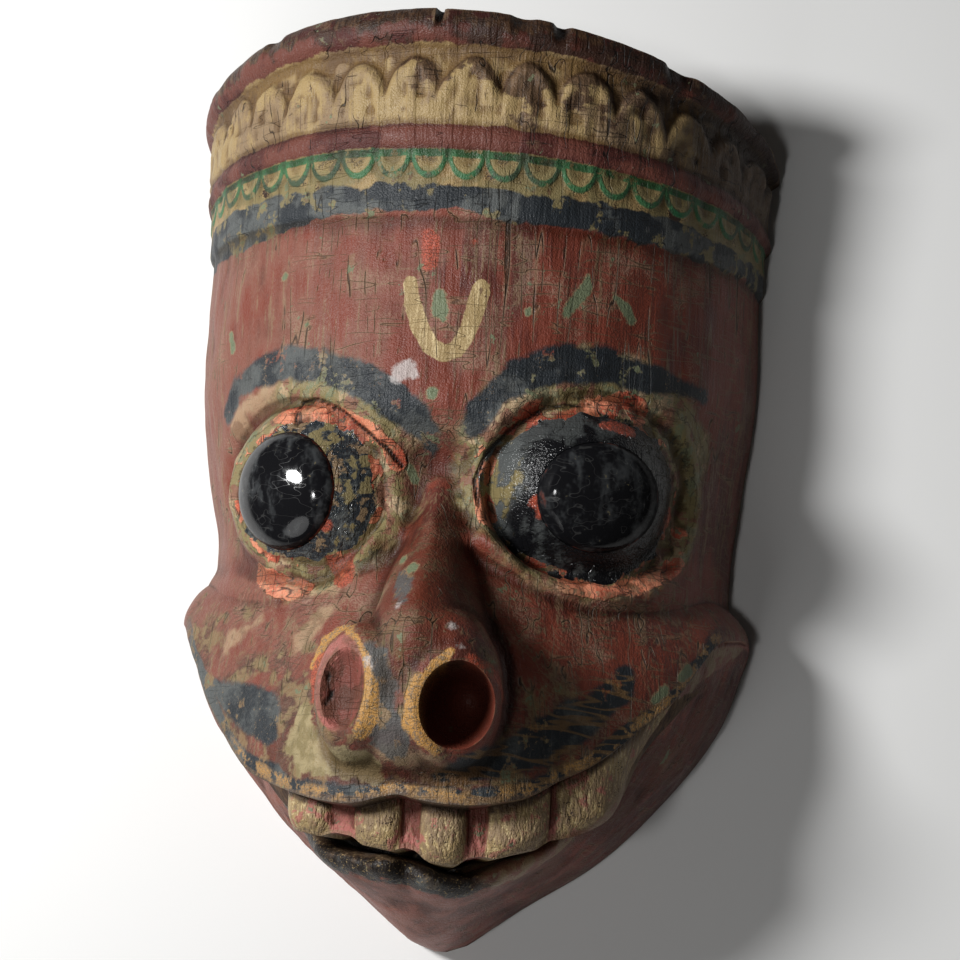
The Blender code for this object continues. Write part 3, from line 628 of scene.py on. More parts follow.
def face_radius(turn, v, zone):
    """Distance from the long axis to the carved surface, for rows of a given zone."""
    degrees = np.degrees(turn)
    jaw = plain_radius(turn, v)
    half_roll = LIP_ROLL_HEIGHT / 2
    lip_middle = teeth_bottom(turn) - slot_height(turn) - half_roll
    lip_top = np.clip(1.0 - ((v - lip_middle) / half_roll) ** 2, 0.0, 1.0) ** 0.6
    lip_foot = np.cos(np.clip((lip_middle - v) / LIP_FOOT, 0.0, 1.0) * math.pi / 2) ** 2
    lip_roll = np.where(v < lip_middle, lip_foot, lip_top)
    notch = 1 - 0.40 * np.exp(-(((degrees + 0.5) / 2.6) ** 2))
    lip_reach = ramp(degrees, -42.0, -18.0) * (1 - ramp(degrees, 18.0, 50.0))
    ridge = np.exp(-(((degrees - 1.0) / 7.0) ** 2)) * ramp(-v, 0.200, 0.222)
    jaw_with_lip = jaw + LIP_ROLL * lip_roll * lip_reach * notch + 0.003 * ridge
    slot_share = 1 - ramp(np.abs(degrees), 22.0, 32.0)
    slot = jaw + (np.minimum(SLOT_FORWARD, jaw - 0.012) - jaw) * slot_share

    on_bridge = 1 - ramp(np.abs(v + 0.008), 0.012, 0.045)
    upper = jaw - 0.022 * np.exp(-((degrees / 13.0) ** 2)) * on_bridge
    upper = upper + crown_relief(turn, v)
    upper = muzzle(upper, turn, v)
    upper = carve_sockets(upper, turn, v)
    upper = nose(upper, turn, v)

    return np.select(
        [zone == ZONE_JAW, zone == ZONE_SLOT, zone == ZONE_TEETH],
        [jaw_with_lip, slot, teeth(jaw, turn, v)],
        upper,
    )


def rim_damage(turn, v, x, z):
    """Notches and splinters lost from the crown's worn upper edge."""
    top = ring(turn, CROWN_TOP, TOP_DROP, TOP_TILT)
    near = ramp(v, top - 0.013, top - 0.001)
    lost = 0.0004 * ramp(lumps(x, v * 0.5, z, 0.021), 0.0, 0.7)
    lost = lost + 0.0005 * ramp(lumps(x, v * 0.3, z, 0.005), 0.1, 0.6)
    degrees = np.degrees(turn)
    for middle, width, depth in RIM_NOTCHES:
        lost = lost + depth * np.exp(-(((degrees - middle) / width) ** 4))
    return lost * near


def mouth_lumps(turn, v, x, z):
    """Knobbly lower lip and ridged chin."""
    under = teeth_bottom(turn) - slot_height(turn) - v
    below = ramp(under, 0.0, 0.002)
    on_lip = 1 - ramp(under, 0.012, 0.022)
    on_lip = on_lip * (1 - ramp(np.abs(np.degrees(turn)), 30.0, 44.0))
    knobs = 0.0011 * lumps(x, v, z, 0.005) + 0.0014 * lumps(x, v, z, 0.010)
    ridges = 0.0010 * lumps(x, v * 0.3, z, 0.006)
    return below * (knobs * on_lip + ridges * (1 - on_lip))


def wear(turn, v, radius):
    """Unevenness left by the knife and by age, added to the carved surface."""
    x = radius * np.sin(turn)
    z = radius * np.cos(turn)
    uneven = 0.0009 * lumps(x, v, z, 0.034) + 0.0005 * lumps(x, v * 0.6, z, 0.013)
    uneven = uneven + 0.0003 * lumps(x, v * 0.35, z, 0.005)
    eye = eye_distance(x, v, z)
    crust = 0.0009 * ramp(lumps(x, v, z, 0.006), -0.2, 0.2)
    crust = crust + 0.0008 * ramp(lumps(x, v + 0.5, z, 0.011), -0.1, 0.1)
    uneven = uneven + crust * ramp(16.0 - eye, 0.0, 8.0) * ramp(eye, 0.2, 1.5)
    uneven = uneven - rim_damage(turn, v, x, z) + mouth_lumps(turn, v, x, z)
    uneven = uneven - 0.0010 * ramp(stroke_field(np.degrees(turn), v * MM, STROKES["crack"]), -1.6, 1.0)
    flaked = ramp(lumps(x, v, z, 0.009), 0.05, 0.35) + 0.6 * ramp(lumps(x, v * 0.5, z, 0.005), 0.1, 0.5)
    level = crown_level(turn, v)
    above_foot = ramp(level, BAND_BOTTOM, BAND_BOTTOM + 0.006)
    flaked = flaked * above_foot * (1 - ramp(level, BAND_TOP - 0.004, BAND_TOP))
    uneven = uneven - 0.0008 * flaked
    fade = ramp(END_TURN - np.abs(turn), 0.0, math.radians(6.0))
    return uneven * fade


def row_rails(turn):
    """Lines that rows of the grid follow: (height, zone of the rows up to it, rows)."""
    edge = lip_edge(turn)
    low = teeth_bottom(turn)
    slot = slot_height(turn)
    return (
        (np.full_like(turn, CHIN_TIP), ZONE_JAW, 0),
        (low - slot, ZONE_JAW, 42),
        (low - slot + STEP / 2, ZONE_SLOT, 1),
        (low - STEP / 2, ZONE_SLOT, 6),
        (low, ZONE_TEETH, 1),
        (edge - STEP, ZONE_TEETH, 18),
        (edge, ZONE_FACE, 1),
        (cheek_line(turn), ZONE_FACE, 66),
        (np.full_like(turn, FOREHEAD_RAIL), ZONE_FACE, 66),
        (ring(turn, BLUE_BOTTOM - 0.002), ZONE_FACE, 26),
        (ring(turn, CROWN_TOP, TOP_DROP, TOP_TILT), ZONE_FACE, 66),
    )


def loft(sections):
    """Closed mesh through a list of equally long loops, capped at both ends."""
    count = len(sections[0])
    vertices = [tuple(point) for section in sections for point in section]
    faces = []
    for row in range(len(sections) - 1):
        for column in range(count):
            after = (column + 1) % count
            a = row * count + column
            b = row * count + after
            faces.append((a, b, b + count, a + count))
    last = (len(sections) - 1) * count
    faces.append(tuple(range(count - 1, -1, -1)))
    faces.append(tuple(range(last, last + count)))
    return vertices, faces


def new_object(name, geometry):
    """Link a new mesh object with its faces turned outwards."""
    vertices, faces = geometry
    mesh = bpy.data.meshes.new(name)
    mesh.from_pydata(vertices, [], faces)
    work = bmesh.new()
    work.from_mesh(mesh)
    bmesh.ops.recalc_face_normals(work, faces=work.faces)
    work.to_mesh(mesh)
    work.free()
    item = bpy.data.objects.new(name, mesh)
    bpy.context.scene.collection.objects.link(item)
    return item


def smoothed(grid, times):
    """Grid of radii with its steps softened."""
    for _ in range(times):
        grid = soften(soften(grid, 0), 1)
    return grid


def soften(grid, axis):
    """One pass of a 1-2-1 filter that leaves the grid's border as it is."""
    soft = grid.copy()
    middle = [slice(None), slice(None)]
    before = [slice(None), slice(None)]
    after = [slice(None), slice(None)]
    middle[axis] = slice(1, -1)
    before[axis] = slice(0, -2)
    after[axis] = slice(2, None)
    soft[tuple(middle)] = (grid[tuple(before)] + 2 * grid[tuple(middle)] + grid[tuple(after)]) / 4
    return soft


def on_back_plane(turn, radius):
    """Places across and out of the mask of one row, with its two ends on the back plane."""
    out = radius * np.cos(turn)
    out[0] = 0.0
    out[-1] = 0.0
    return radius * np.sin(turn), out


def carved_block():
    """The solid block before hollowing: a grid on the carved face, closed flat at the back."""
    even = np.linspace(-1.0, 1.0, COLUMNS)
    turn = END_TURN * (0.84 * even + 0.16 * even**3)
    rows = []
    rails = row_rails(turn)
    for (start, _, _), (end, zone, count) in zip(rails, rails[1:]):
        for step in range(count):
            share = (step + 1) / count
            rows.append((start + (end - start) * share, zone))
    rows.insert(0, (rails[0][0], ZONE_JAW))
    radii = np.array([face_radius(turn, height, np.full(COLUMNS, zone)) for height, zone in rows])
    whole = [k for k, (_, zone) in enumerate(rows) if zone == ZONE_FACE][2:]
    radii[whole] = smoothed(radii[whole], 2)
    points = []
    for (height, _), radius in zip(rows, radii):
        across, out = on_back_plane(turn, radius + wear(turn, height, radius))
        points.append(np.stack([across - chin_lean(height), height + SHIFT, out], axis=1))
    return new_object("mask_carving", loft(points))


def hollow_depth(v):
    """Depth of the hollow behind the middle of the face."""
    return curve(
        v,
        (HOLLOW_START, 0.058), (-0.17, 0.085), (-0.12, 0.095), (0.03, 0.090), (0.09, 0.108),
        (0.22, 0.118),
    )


def cavity_block():
    """The hollow: the plain block drawn in by the wall, with gouge marks, open at the back."""
    turn = np.linspace(-END_TURN, END_TURN, HOLLOW_COLUMNS)
    heights = np.linspace(HOLLOW_START, CROWN_TOP - TOP_DROP - TOP_WALL, HOLLOW_ROWS)
    sections = []
    for height in heights:
        radius = oval(turn, half_width(height) - LEFT_WAIST - WALL, hollow_depth(height))
        gouges = 0.0016 * np.abs(np.sin(turn * 15 + 2.0 * lumps(turn * 0.1, height, 0.0, 0.05)))
        radius = radius - gouges * ramp(END_TURN - np.abs(turn), 0.0, 0.2)
        radius = radius - 0.0010 * (lumps(np.sin(turn) * 0.12, height, np.cos(turn) * 0.12, 0.012) + 1)
        across, out = on_back_plane(turn, radius)
        loop = [(across[0], height + SHIFT, -WALL)]
        loop += [(x, height + SHIFT, z) for x, z in zip(across, out)]
        loop.append((across[-1], height + SHIFT, -WALL))
        sections.append(loop)
    return new_object("cavity_cutter", loft(sections))


def disc_solid(name, profile, centre, direction, stretch, segments):
    """Turned solid from a (radius, height) profile, stretched across and set on an axis."""
    basis = frame_along(np.array(direction))
    sections = []
    for radius, height in profile:
        loop = []
        for k in range(segments):
            angle = 2 * math.pi * k / segments
            across = radius * stretch[0] * math.cos(angle)
            up = radius * stretch[1] * math.sin(angle)
            loop.append(tuple(np.array(centre) + (0.0, SHIFT, 0.0) + basis @ np.array([across, up, height])))
        sections.append(loop)
    return new_object(name, loft(sections))


def pupil_size(side):
    """Radius of a pupil, how far it is stretched across, and how far up the eyeball its rim lies."""
    radius = PUPIL[side]
    return radius, (PUPIL_STRETCH[side], 1.0), math.sqrt(EYE_RADIUS**2 - radius**2)


def eye_pocket(side):
    """Cutter for the round seat of an eye dome."""
    radius, stretch, rim = pupil_size(side)
    profile = ((radius + GAP, rim - POCKET_DEPTH), (radius + GAP, EYE_RADIUS + 2 * WALL))
    return disc_solid("pocket_cutter", profile, eye_centre(side), eye_axis(side), stretch, POCKET_SEGMENTS)


def nostril_cutter(centre, half, depth):
    """Oval cutter that sinks a nostril to a depth below the wing's face."""
    base = np.array([centre[0], centre[1], WING_FORWARD])
    direction = (0.05 if centre[0] > 0 else -0.02, -0.16, 1.0)
    profile = []
    for k in range(NOSTRIL_STEPS + 1):
        share = k / NOSTRIL_STEPS
        wide = 0.10 + 0.90 * math.sin(share * math.pi / 2) ** 0.55
        profile.append((half[1] * wide, -depth * (1 - share) ** 1.3))
    profile.append((half[1] * 1.02, 0.02))
    stretch = (half[0] / half[1], 1.0)
    return disc_solid("nostril_cutter", profile, base, direction, stretch, NOSTRIL_SEGMENTS)


def join(objects):
    """One object from several, which go away."""
    first = objects[0]
    work = bmesh.new()
    for item in objects:
        work.from_mesh(item.data)
    work.to_mesh(first.data)
    work.free()
    for item in objects[1:]:
        bpy.data.objects.remove(item, do_unlink=True)
    return first


def carve_shell():
    """The whole wooden mask as one fine mesh."""
    shell = carved_block()
    cutters = [cavity_block()]
    cutters += [eye_pocket(side) for side in SIDES]
    cutters += [nostril_cutter(centre, half, depth) for centre, half, depth in NOSTRILS]
    cutter = join(cutters)
    modifier = shell.modifiers.new("hollow", "BOOLEAN")
    modifier.operation = "DIFFERENCE"
    modifier.solver = "EXACT"
    modifier.object = cutter
    depsgraph = bpy.context.evaluated_depsgraph_get()
    mesh = bpy.data.meshes.new_from_object(shell.evaluated_get(depsgraph))
    shell.modifiers.clear()
    shell.data = mesh
    bpy.data.objects.remove(cutter, do_unlink=True)
    mesh.shade_smooth()
    mesh.set_sharp_from_angle(angle=FOLD_ANGLE)
    return shell


def eye_dome(name, side):
    """Glossy domed pupil that sits in its pocket."""
    radius, stretch, rim = pupil_size(side)
    crown = EYE_RADIUS + DOME_PROUD
    profile = [(radius, rim - POCKET_DEPTH + GAP)]
    for k in range(DOME_STEPS):
        angle = (math.pi / 2) * k / DOME_STEPS
        profile.append((radius * math.cos(angle), rim + (crown - rim) * math.sin(angle)))
    profile.append((radius * 0.01, crown))
    item = disc_solid(name, profile, eye_centre(side), eye_axis(side), stretch, DOME_SEGMENTS)
    item.data.shade_smooth()
    item.data.set_sharp_from_angle(angle=DOME_FOLD_ANGLE)
    return item


# Fields that the paint follows, one value a vertex
BLUE_EDGE = (
    (-90.0, 126.0), (-55.0, 127.0), (-45.0, 128.5), (-33.0, 131.0), (-19.0, 134.5), (-3.0, 134.5),
    (15.0, 130.5), (32.0, 128.0), (56.0, 127.0), (90.0, 124.0),
)


def add_field(mesh, name, values):
    """Store one number a vertex under a name that the shader reads."""
    layer = mesh.attributes.new(name, "FLOAT", "POINT")
    layer.data.foreach_set("value", np.asarray(values, dtype=np.float32))


def read_values(items, name, width, kind):
    """One property of all items of a mesh, width numbers an item."""
    values = np.empty(len(items) * width, dtype=kind)
    items.foreach_get(name, values)
    return values


def vertex_arrays(mesh):
    """Places and normals of a mesh's vertices."""
    places = read_values(mesh.vertices, "co", 3, float)
    normals = read_values(mesh.vertex_normals, "vector", 3, np.float32)
    return places.reshape(-1, 3), normals.reshape(-1, 3)


def standing_proud(mesh, places, normals, passes):
    """How far each vertex stands out of its smoothed surroundings, in mm."""
    pairs = read_values(mesh.edges, "vertices", 2, np.int64)
    ends = (pairs[0::2], pairs[1::2])
    count = len(places)
    near = places.copy()
    for _ in range(passes):
        total = near.copy()
        shares = np.ones(count)
        for here, there in (ends, ends[::-1]):
            shares += np.bincount(here, minlength=count)
            for axis in range(3):
                total[:, axis] += np.bincount(here, weights=near[there, axis], minlength=count)
        near = total / shares[:, None]
    return ((places - near) * normals).sum(axis=1) * MM


def layered(x, y, z, size, octaves, seed):
    """Noise of about -1 to 1 with finer noise on top of it."""
    total = 0.0
    weight = 1.0
    for k in range(octaves):
        total = total + weight * lumps(x + seed, y - seed, z + 2 * seed, size / 2**k)
        weight *= 0.6
    return total * 1.15


def nostril_distance(x, v, z):
    """Distance outside the nearer nostril's edge in mm, negative in it."""
    nearest = np.full(np.shape(x), 60.0)
    for centre, half, _ in NOSTRILS:
        away = np.hypot((x - centre[0]) / half[0], (v - centre[1]) / half[1])
        nearest = np.minimum(nearest, np.where(z > 0.1, (away - 1.0) * half[0] * MM, 60.0))
    return nearest


# Noises kept on the mesh: stretch of the height, size of the lumps in metres, octaves, seed
NOISES = {
    "rag": (1.0, 0.012, 4, 0.11),
    "patchy": (1.0, 0.018, 5, 0.23),
    "broad": (1.0, 0.050, 3, 0.37),
    "streak": (0.10, 0.006, 3, 0.41),
    "blots": (1.0, 0.007, 3, 0.59),
}

# How far the edges of paint wander and how far apart the knife lines of the cheeks are, in mm
RAG_REACH = 3.2
FOLD_PITCH = 3.1


def mouth_fields(turn, v):
    """Places in mm from the lip's edge, a tooth's side and the lower lip, and the share of teeth."""
    degrees = np.degrees(turn)
    edge = lip_edge(turn)
    low = teeth_bottom(turn)
    tooth = np.full(len(v), -9.0)
    for start, end in TEETH:
        half = (end - start) / 2
        tooth = np.maximum(tooth, math.radians(1.0) * ARC * (half - np.abs(degrees - start - half)))
    row_height = np.interp(degrees, (38.0, 64.0), (0.030, 0.003)) * (degrees > -32.0)
    row = ramp(v - edge + row_height, -0.001, 0.001) * ramp(degrees, -33.0, -31.0)
    reach = ramp(degrees, -46.0, -34.0) * (1 - ramp(degrees, 36.0, 54.0))
    return {
        "lip": (v - edge) * MM,
        "tooth": tooth,
        "teeth": ramp(edge - v, -0.0002, 0.0008) * ramp(v - low, -0.0012, -0.0002) * row,
        "lower_lip": LIP_ROLL_HEIGHT * MM * reach - 6.5 - (low - slot_height(turn) - v) * MM,
    }


def inside_share(turn, v, z, radius, fields):
    """1 in the hollow and on the back rim, 0 on the carved side."""
    low = teeth_bottom(turn)
    slot = slot_height(turn)
    surface = face_radius(turn, v, np.where(v < low - slot * 0.5, ZONE_JAW, ZONE_FACE))
    behind = (radius < surface - 0.010) & (fields["hole"] > 8.0) & (fields["teeth"] < 0.5)
    in_slot = (v < low + 0.002) & (v > low - slot - 0.003) & (radius > 0.09)
    in_slot = in_slot & (np.abs(np.degrees(turn)) < 34.0)
    return ((behind & ~in_slot) | (z < 0.0005)).astype(float)


def measure_shell(mesh):
    """Write the fields of the carved shell."""
    places, normals = vertex_arrays(mesh)
    v = places[:, 1] - SHIFT
    x = places[:, 0] + chin_lean(v)
    z = places[:, 2]
    turn = np.arctan2(x, np.maximum(z, 0.0) + 1e-9)
    degrees = np.degrees(turn)
    level = crown_level(turn, v)
    tall = v * MM
    fields = {
        "turn": degrees,
        "tall": tall,
        "level": (level - CROWN_TOP) * MM,
        "petal": petal_shape(turn, level)[0] * MM,
        "scallop": scallop_shape(turn, level) * MM,
        "blue": tall - curve(degrees, *BLUE_EDGE),
        "eye": eye_distance(x, v, z),
        "hole": nostril_distance(x, v, z),
    }
    fields.update(mouth_fields(turn, v))
    fields["inside"] = inside_share(turn, v, z, np.hypot(x, z), fields)
    for name, passes, limit in (("proud", 4, 2.0), ("form", 24, 5.0)):
        fields[name] = np.clip(standing_proud(mesh, places, normals, passes), -limit, limit)

    for name, (stretch, size, octaves, seed) in NOISES.items():
        fields[name] = layered(x, v * stretch, z, size, octaves, seed)
    fields["rag"] = fields["rag"] * RAG_REACH
    fields["bands"] = fields["eye"] * 0.24 + 0.35 * fields["patchy"] + 0.15 * fields["blots"]
    folds = np.abs(np.radians(degrees)) * ARC * 0.62 + tall * 0.78
    fields["folds"] = folds / FOLD_PITCH + 0.9 * fields["patchy"] + 0.8 * fields["broad"]
    for name, strokes in STROKES.items():
        fields[name] = np.maximum(stroke_field(degrees, tall, strokes), -30.0)
    for name, values in fields.items():
        add_field(mesh, name, values)


def measure_dome(mesh, side):
    """Write each vertex's distance in mm from the dome's rim."""
    places, _ = vertex_arrays(mesh)
    off, _ = eye_angles(places[:, 0], places[:, 1] - SHIFT, places[:, 2], side)
    radius, _, rim = pupil_size(side)
    off_rim = math.degrees(math.atan2(radius, rim)) - off
    add_field(mesh, "rim", np.radians(off_rim) * EYE_RADIUS * MM)


# Node maths
class Field:
    """A value in a shader that can be added, scaled and compared."""

    def __init__(self, graph, socket):
        self.graph = graph
        self.socket = socket

    def __add__(self, other):
        return self.graph.maths("ADD", self, other)

    __radd__ = __add__

    def __sub__(self, other):
        return self.graph.maths("SUBTRACT", self, other)

    def __rsub__(self, other):
        return self.graph.maths("SUBTRACT", other, self)

    def __mul__(self, other):
        return self.graph.maths("MULTIPLY", self, other)

    __rmul__ = __mul__

    def __abs__(self):
        return self.graph.maths("ABSOLUTE", self, 0.0)

    def either(self, other):
        """The larger of two masks."""
        return self.graph.maths("MAXIMUM", self, other)

    def wave(self):
        """0 at each whole number, 0.5 half way between them."""
        return abs(self.graph.maths("FRACT", self, 0.0) - 0.5)

    def over(self, edge, soft):
        """1 where the value is above edge, 0 below, softened over soft on both sides."""
        node = self.graph.node("ShaderNodeMapRange")
        node.interpolation_type = "SMOOTHSTEP"
        self.graph.plug(node.inputs["Value"], self)
        node.inputs["From Min"].default_value = edge - soft
        node.inputs["From Max"].default_value = edge + soft
        return Field(self.graph, node.outputs["Result"])

    def under(self, edge, soft):
        """1 where the value is below edge, 0 above."""
        return 1.0 - self.over(edge, soft)


class Graph:
    """Builds one material's nodes."""

    def __init__(self, name):
        self.material = bpy.data.materials.new(name)
        self.material.use_nodes = True
        self.tree = self.material.node_tree
        self.shader = self.tree.nodes["Principled BSDF"]
        self.place = self.node("ShaderNodeTexCoord").outputs["Object"]
        self.shift = 0.0

    def node(self, kind):
        return self.tree.nodes.new(kind)

    def plug(self, socket, value):
        """Link or set a socket."""
        if isinstance(value, Field):
            self.tree.links.new(value.socket, socket)
        elif isinstance(value, bpy.types.NodeSocket):
            self.tree.links.new(value, socket)
        elif isinstance(value, tuple):
            socket.default_value = (*value, 1.0)
        else:
            socket.default_value = value

    def maths(self, operation, a, b):
        node = self.node("ShaderNodeMath")
        node.operation = operation
        self.plug(node.inputs[0], a)
        self.plug(node.inputs[1], b)
        return Field(self, node.outputs[0])

    def field(self, name):
        """A value stored on the mesh."""
        node = self.node("ShaderNodeAttribute")
        node.attribute_name = name
        return Field(self, node.outputs["Fac"])

    def spot(self, stretch):
        """Object coordinates, stretched and moved to a fresh place in the noise."""
        self.shift += 3.7
        node = self.node("ShaderNodeMapping")
        node.inputs["Scale"].default_value = stretch
        node.inputs["Location"].default_value = (self.shift, self.shift * 0.7, -self.shift)
        self.tree.links.new(self.place, node.inputs["Vector"])
        return node.outputs["Vector"]

    def noise(self, size, detail=2.0, rough=0.55, stretch=(1.0, 1.0, 1.0)):
        """Noise of about -0.5 to 0.5 with lumps of that size in mm."""
        node = self.node("ShaderNodeTexNoise")
        node.inputs["Scale"].default_value = MM / size
        node.inputs["Detail"].default_value = detail
        node.inputs["Roughness"].default_value = rough
        self.tree.links.new(self.spot(stretch), node.inputs["Vector"])
        return Field(self, node.outputs["Fac"]) - 0.5

    def mix(self, share, base, top):
        """Colour that goes from base to top."""
        return self.blend("MIX", share, base, top)

    def tint(self, share, base, by):
        """Base colour multiplied by a colour."""
        return self.blend("MULTIPLY", share, base, by)

    def blend(self, kind, share, base, top):
        node = self.node("ShaderNodeMix")
        node.data_type = "RGBA"
        node.blend_type = kind
        self.plug(node.inputs["Factor"], share)
        self.plug(node.inputs[6], base)
        self.plug(node.inputs[7], top)
        return node.outputs[2]

    def finish(self, color, roughness, height, strength):
        """Plug colour, roughness and a height in mm into the shader."""
        self.plug(self.shader.inputs["Base Color"], color)
        self.plug(self.shader.inputs["Roughness"], roughness)
        self.shader.inputs["Specular IOR Level"].default_value = MATT_SPECULAR
        bump = self.node("ShaderNodeBump")
        bump.inputs["Distance"].default_value = 1.0 / MM
        bump.inputs["Strength"].default_value = strength
        self.plug(bump.inputs["Height"], height)
        self.tree.links.new(bump.outputs["Normal"], self.shader.inputs["Normal"])
        return self.material


# Colours, linear
SOOT = (0.012, 0.008, 0.006)
WOOD_DARK = (0.042, 0.022, 0.014)
WOOD = (0.130, 0.075, 0.042)
EARTH = (0.220, 0.150, 0.085)
TAN = (0.380, 0.270, 0.160)
OCHRE = (0.460, 0.240, 0.065)
SALMON = (0.620, 0.230, 0.130)
ORANGE_RED = (0.450, 0.085, 0.045)
DUSTY_RED = (0.195, 0.078, 0.054)
RED = (0.170, 0.040, 0.024)
BRICK = (0.240, 0.078, 0.050)
MAROON = (0.070, 0.019, 0.015)
DUST = (0.400, 0.310, 0.220)
CREAM = (0.310, 0.218, 0.098)
PALE_CREAM = (0.580, 0.455, 0.250)
GREEN = (0.018, 0.120, 0.048)
GREY_GREEN = (0.140, 0.165, 0.095)
OLIVE = (0.200, 0.160, 0.072)
LICHEN = (0.330, 0.270, 0.140)
BLUE_BLACK = (0.020, 0.024, 0.028)
SLATE = (0.080, 0.086, 0.084)
CHALK = (0.500, 0.460, 0.440)
GUM = (0.330, 0.110, 0.090)
BLACK = (0.006, 0.006, 0.007)
WORN_GREEN = (0.030, 0.060, 0.035)
ROLL_RED = (0.125, 0.040, 0.028)
SMEAR_AND_REFLECTION_GREY = (0.050, 0.053, 0.055)
SCRATCH = (0.18, 0.18, 0.17)

# Colours that a darkened place is multiplied by, most of them for painted shade
HOLLOW_SHADE = (0.33, 0.26, 0.20)
CROWN_SHADE = (0.40, 0.31, 0.22)
TOP_RIGHT_SHADE = (0.42, 0.34, 0.28)
RIDGE_SHADE = (0.62, 0.60, 0.52)
WOOD_SHADE = (0.35, 0.28, 0.22)

# How much old matt paint mirrors
MATT_SPECULAR = 0.26


class Surface:
    """The fields and noises that all the mask's paints share, and the red ground under them."""

    def __init__(self, name):
        g = self.graph = Graph(name)
        for field in ("turn", "tall", "lip", "proud", *NOISES):
            setattr(self, field, g.field(field))
        self.fine = g.noise(2.4, 2.0, 0.65) * 4.2
        self.speck = g.noise(0.9, 1.0, 0.6)
        self.grain = g.noise(1.8, 1.0, 0.6, (1.0, 0.08, 1.0))
        self.upright = abs(g.noise(9.0, 1.0, 0.5, (1.0, 0.07, 1.0)))
        self.across = abs(g.noise(5.5, 1.0, 0.5, (0.16, 1.0, 0.16)))

    def mottled(self, fine, edge, soft, base, top):
        """Colour that turns from base to top in blots with a fine edge."""
        return self.graph.mix((self.blots + self.fine * fine).over(edge, soft), base, top)

    def specks(self, speck, fine, edge, soft):
        """Mask of specks, with fine noise in their edges."""
        return (self.speck * speck + self.fine * fine).over(edge, soft)

    def red_ground(self):
        """Red ground with upright and level cracks: lighter and dustier on the viewer's left, partly dust and
        partly painted sheen, and deeper on the right, partly painted shade.
        """
        g = self.graph
        # Dustier towards the viewer's left: dust in patches, and painted sheen on the lit side
        dust_and_left_sheen = self.turn * -0.016 + self.patchy * 0.7 + self.streak * 0.5 + self.fine * 0.25
        color = g.mix(dust_and_left_sheen.over(0.25, 0.9), RED, DUSTY_RED)
        # Deeper red in patches and towards the right: painted shade on the side away from the light
        deep_and_right_shade = (self.broad * 0.8 + self.streak * 0.6 + self.grain * 2.4 + self.turn * 0.006).over(0.55, 0.45)
        color = g.mix(deep_and_right_shade * 0.75, color, MAROON)
        color = g.mix((self.speck * 3.0 + self.patchy * 0.8).over(0.75, 0.30) * 0.28, color, DUST)
        rubbed = (self.grain * 2.6 + self.streak * 0.6 + self.fine * 0.2).over(0.62, 0.25)
        color = g.mix(rubbed * 0.55, color, EARTH)
        some = (self.blots + self.patchy * 0.8 + self.turn * 0.006).over(0.05, 0.40)
        long_lip = self.upright.under(0.022, 0.012) * some
        long_crack = self.upright.under(0.006, 0.005) * some
        cross_zone = (self.patchy - self.blots * 0.6 + self.turn * 0.010).over(0.10, 0.35)
        cross_lip = self.across.under(0.022, 0.012) * cross_zone
        cross_crack = self.across.under(0.004, 0.004) * cross_zone
        color = g.mix(long_lip.either(cross_lip) * 0.50, color, EARTH)
        self.lines = long_crack.either(cross_crack * 0.7)
        return g.mix(self.lines * 0.80, color, SOOT)

    def aged(self, color, height, gloss, shade=HOLLOW_SHADE):
        """Worn ridges, painted shade in the hollows, and chips, then the finished material."""
        g = self.graph
        whole = 1.0 - gloss
        worn = g.mix((self.fine * 0.4 + self.grain * 2.0).over(0.1, 0.4), WOOD, EARTH)
        wear = (self.proud * 1.2 + self.patchy * 0.4 + self.blots * 0.25 + self.fine * 0.2).over(0.85, 0.25)
        color = g.mix(wear * whole * 0.45, color, worn)
        chips = (self.blots + self.fine * 0.4 + self.patchy * 0.2).over(1.22, 0.06) * whole
        chip_color = g.mix((self.patchy + self.fine * 0.3).over(0.3, 0.3), WOOD, GREY_GREEN)
        color = g.mix(chips * 0.85, color, chip_color)
        # Darker in hollows and creases and under overhangs: painted shade
        hollow_shade = (self.proud * 1.5 + g.field("form") * 0.35 + self.fine * 0.08).under(-0.25, 0.45) * whole
        color = g.tint(hollow_shade * 0.85, color, shade)
        roughness = 0.52 + self.patchy * 0.08 + self.speck * 0.35 - gloss * 0.36
        height = height + self.grain * 0.45 + self.speck * 0.45 + self.fine * 0.06
        return g.finish(color, roughness, height, 1.0)


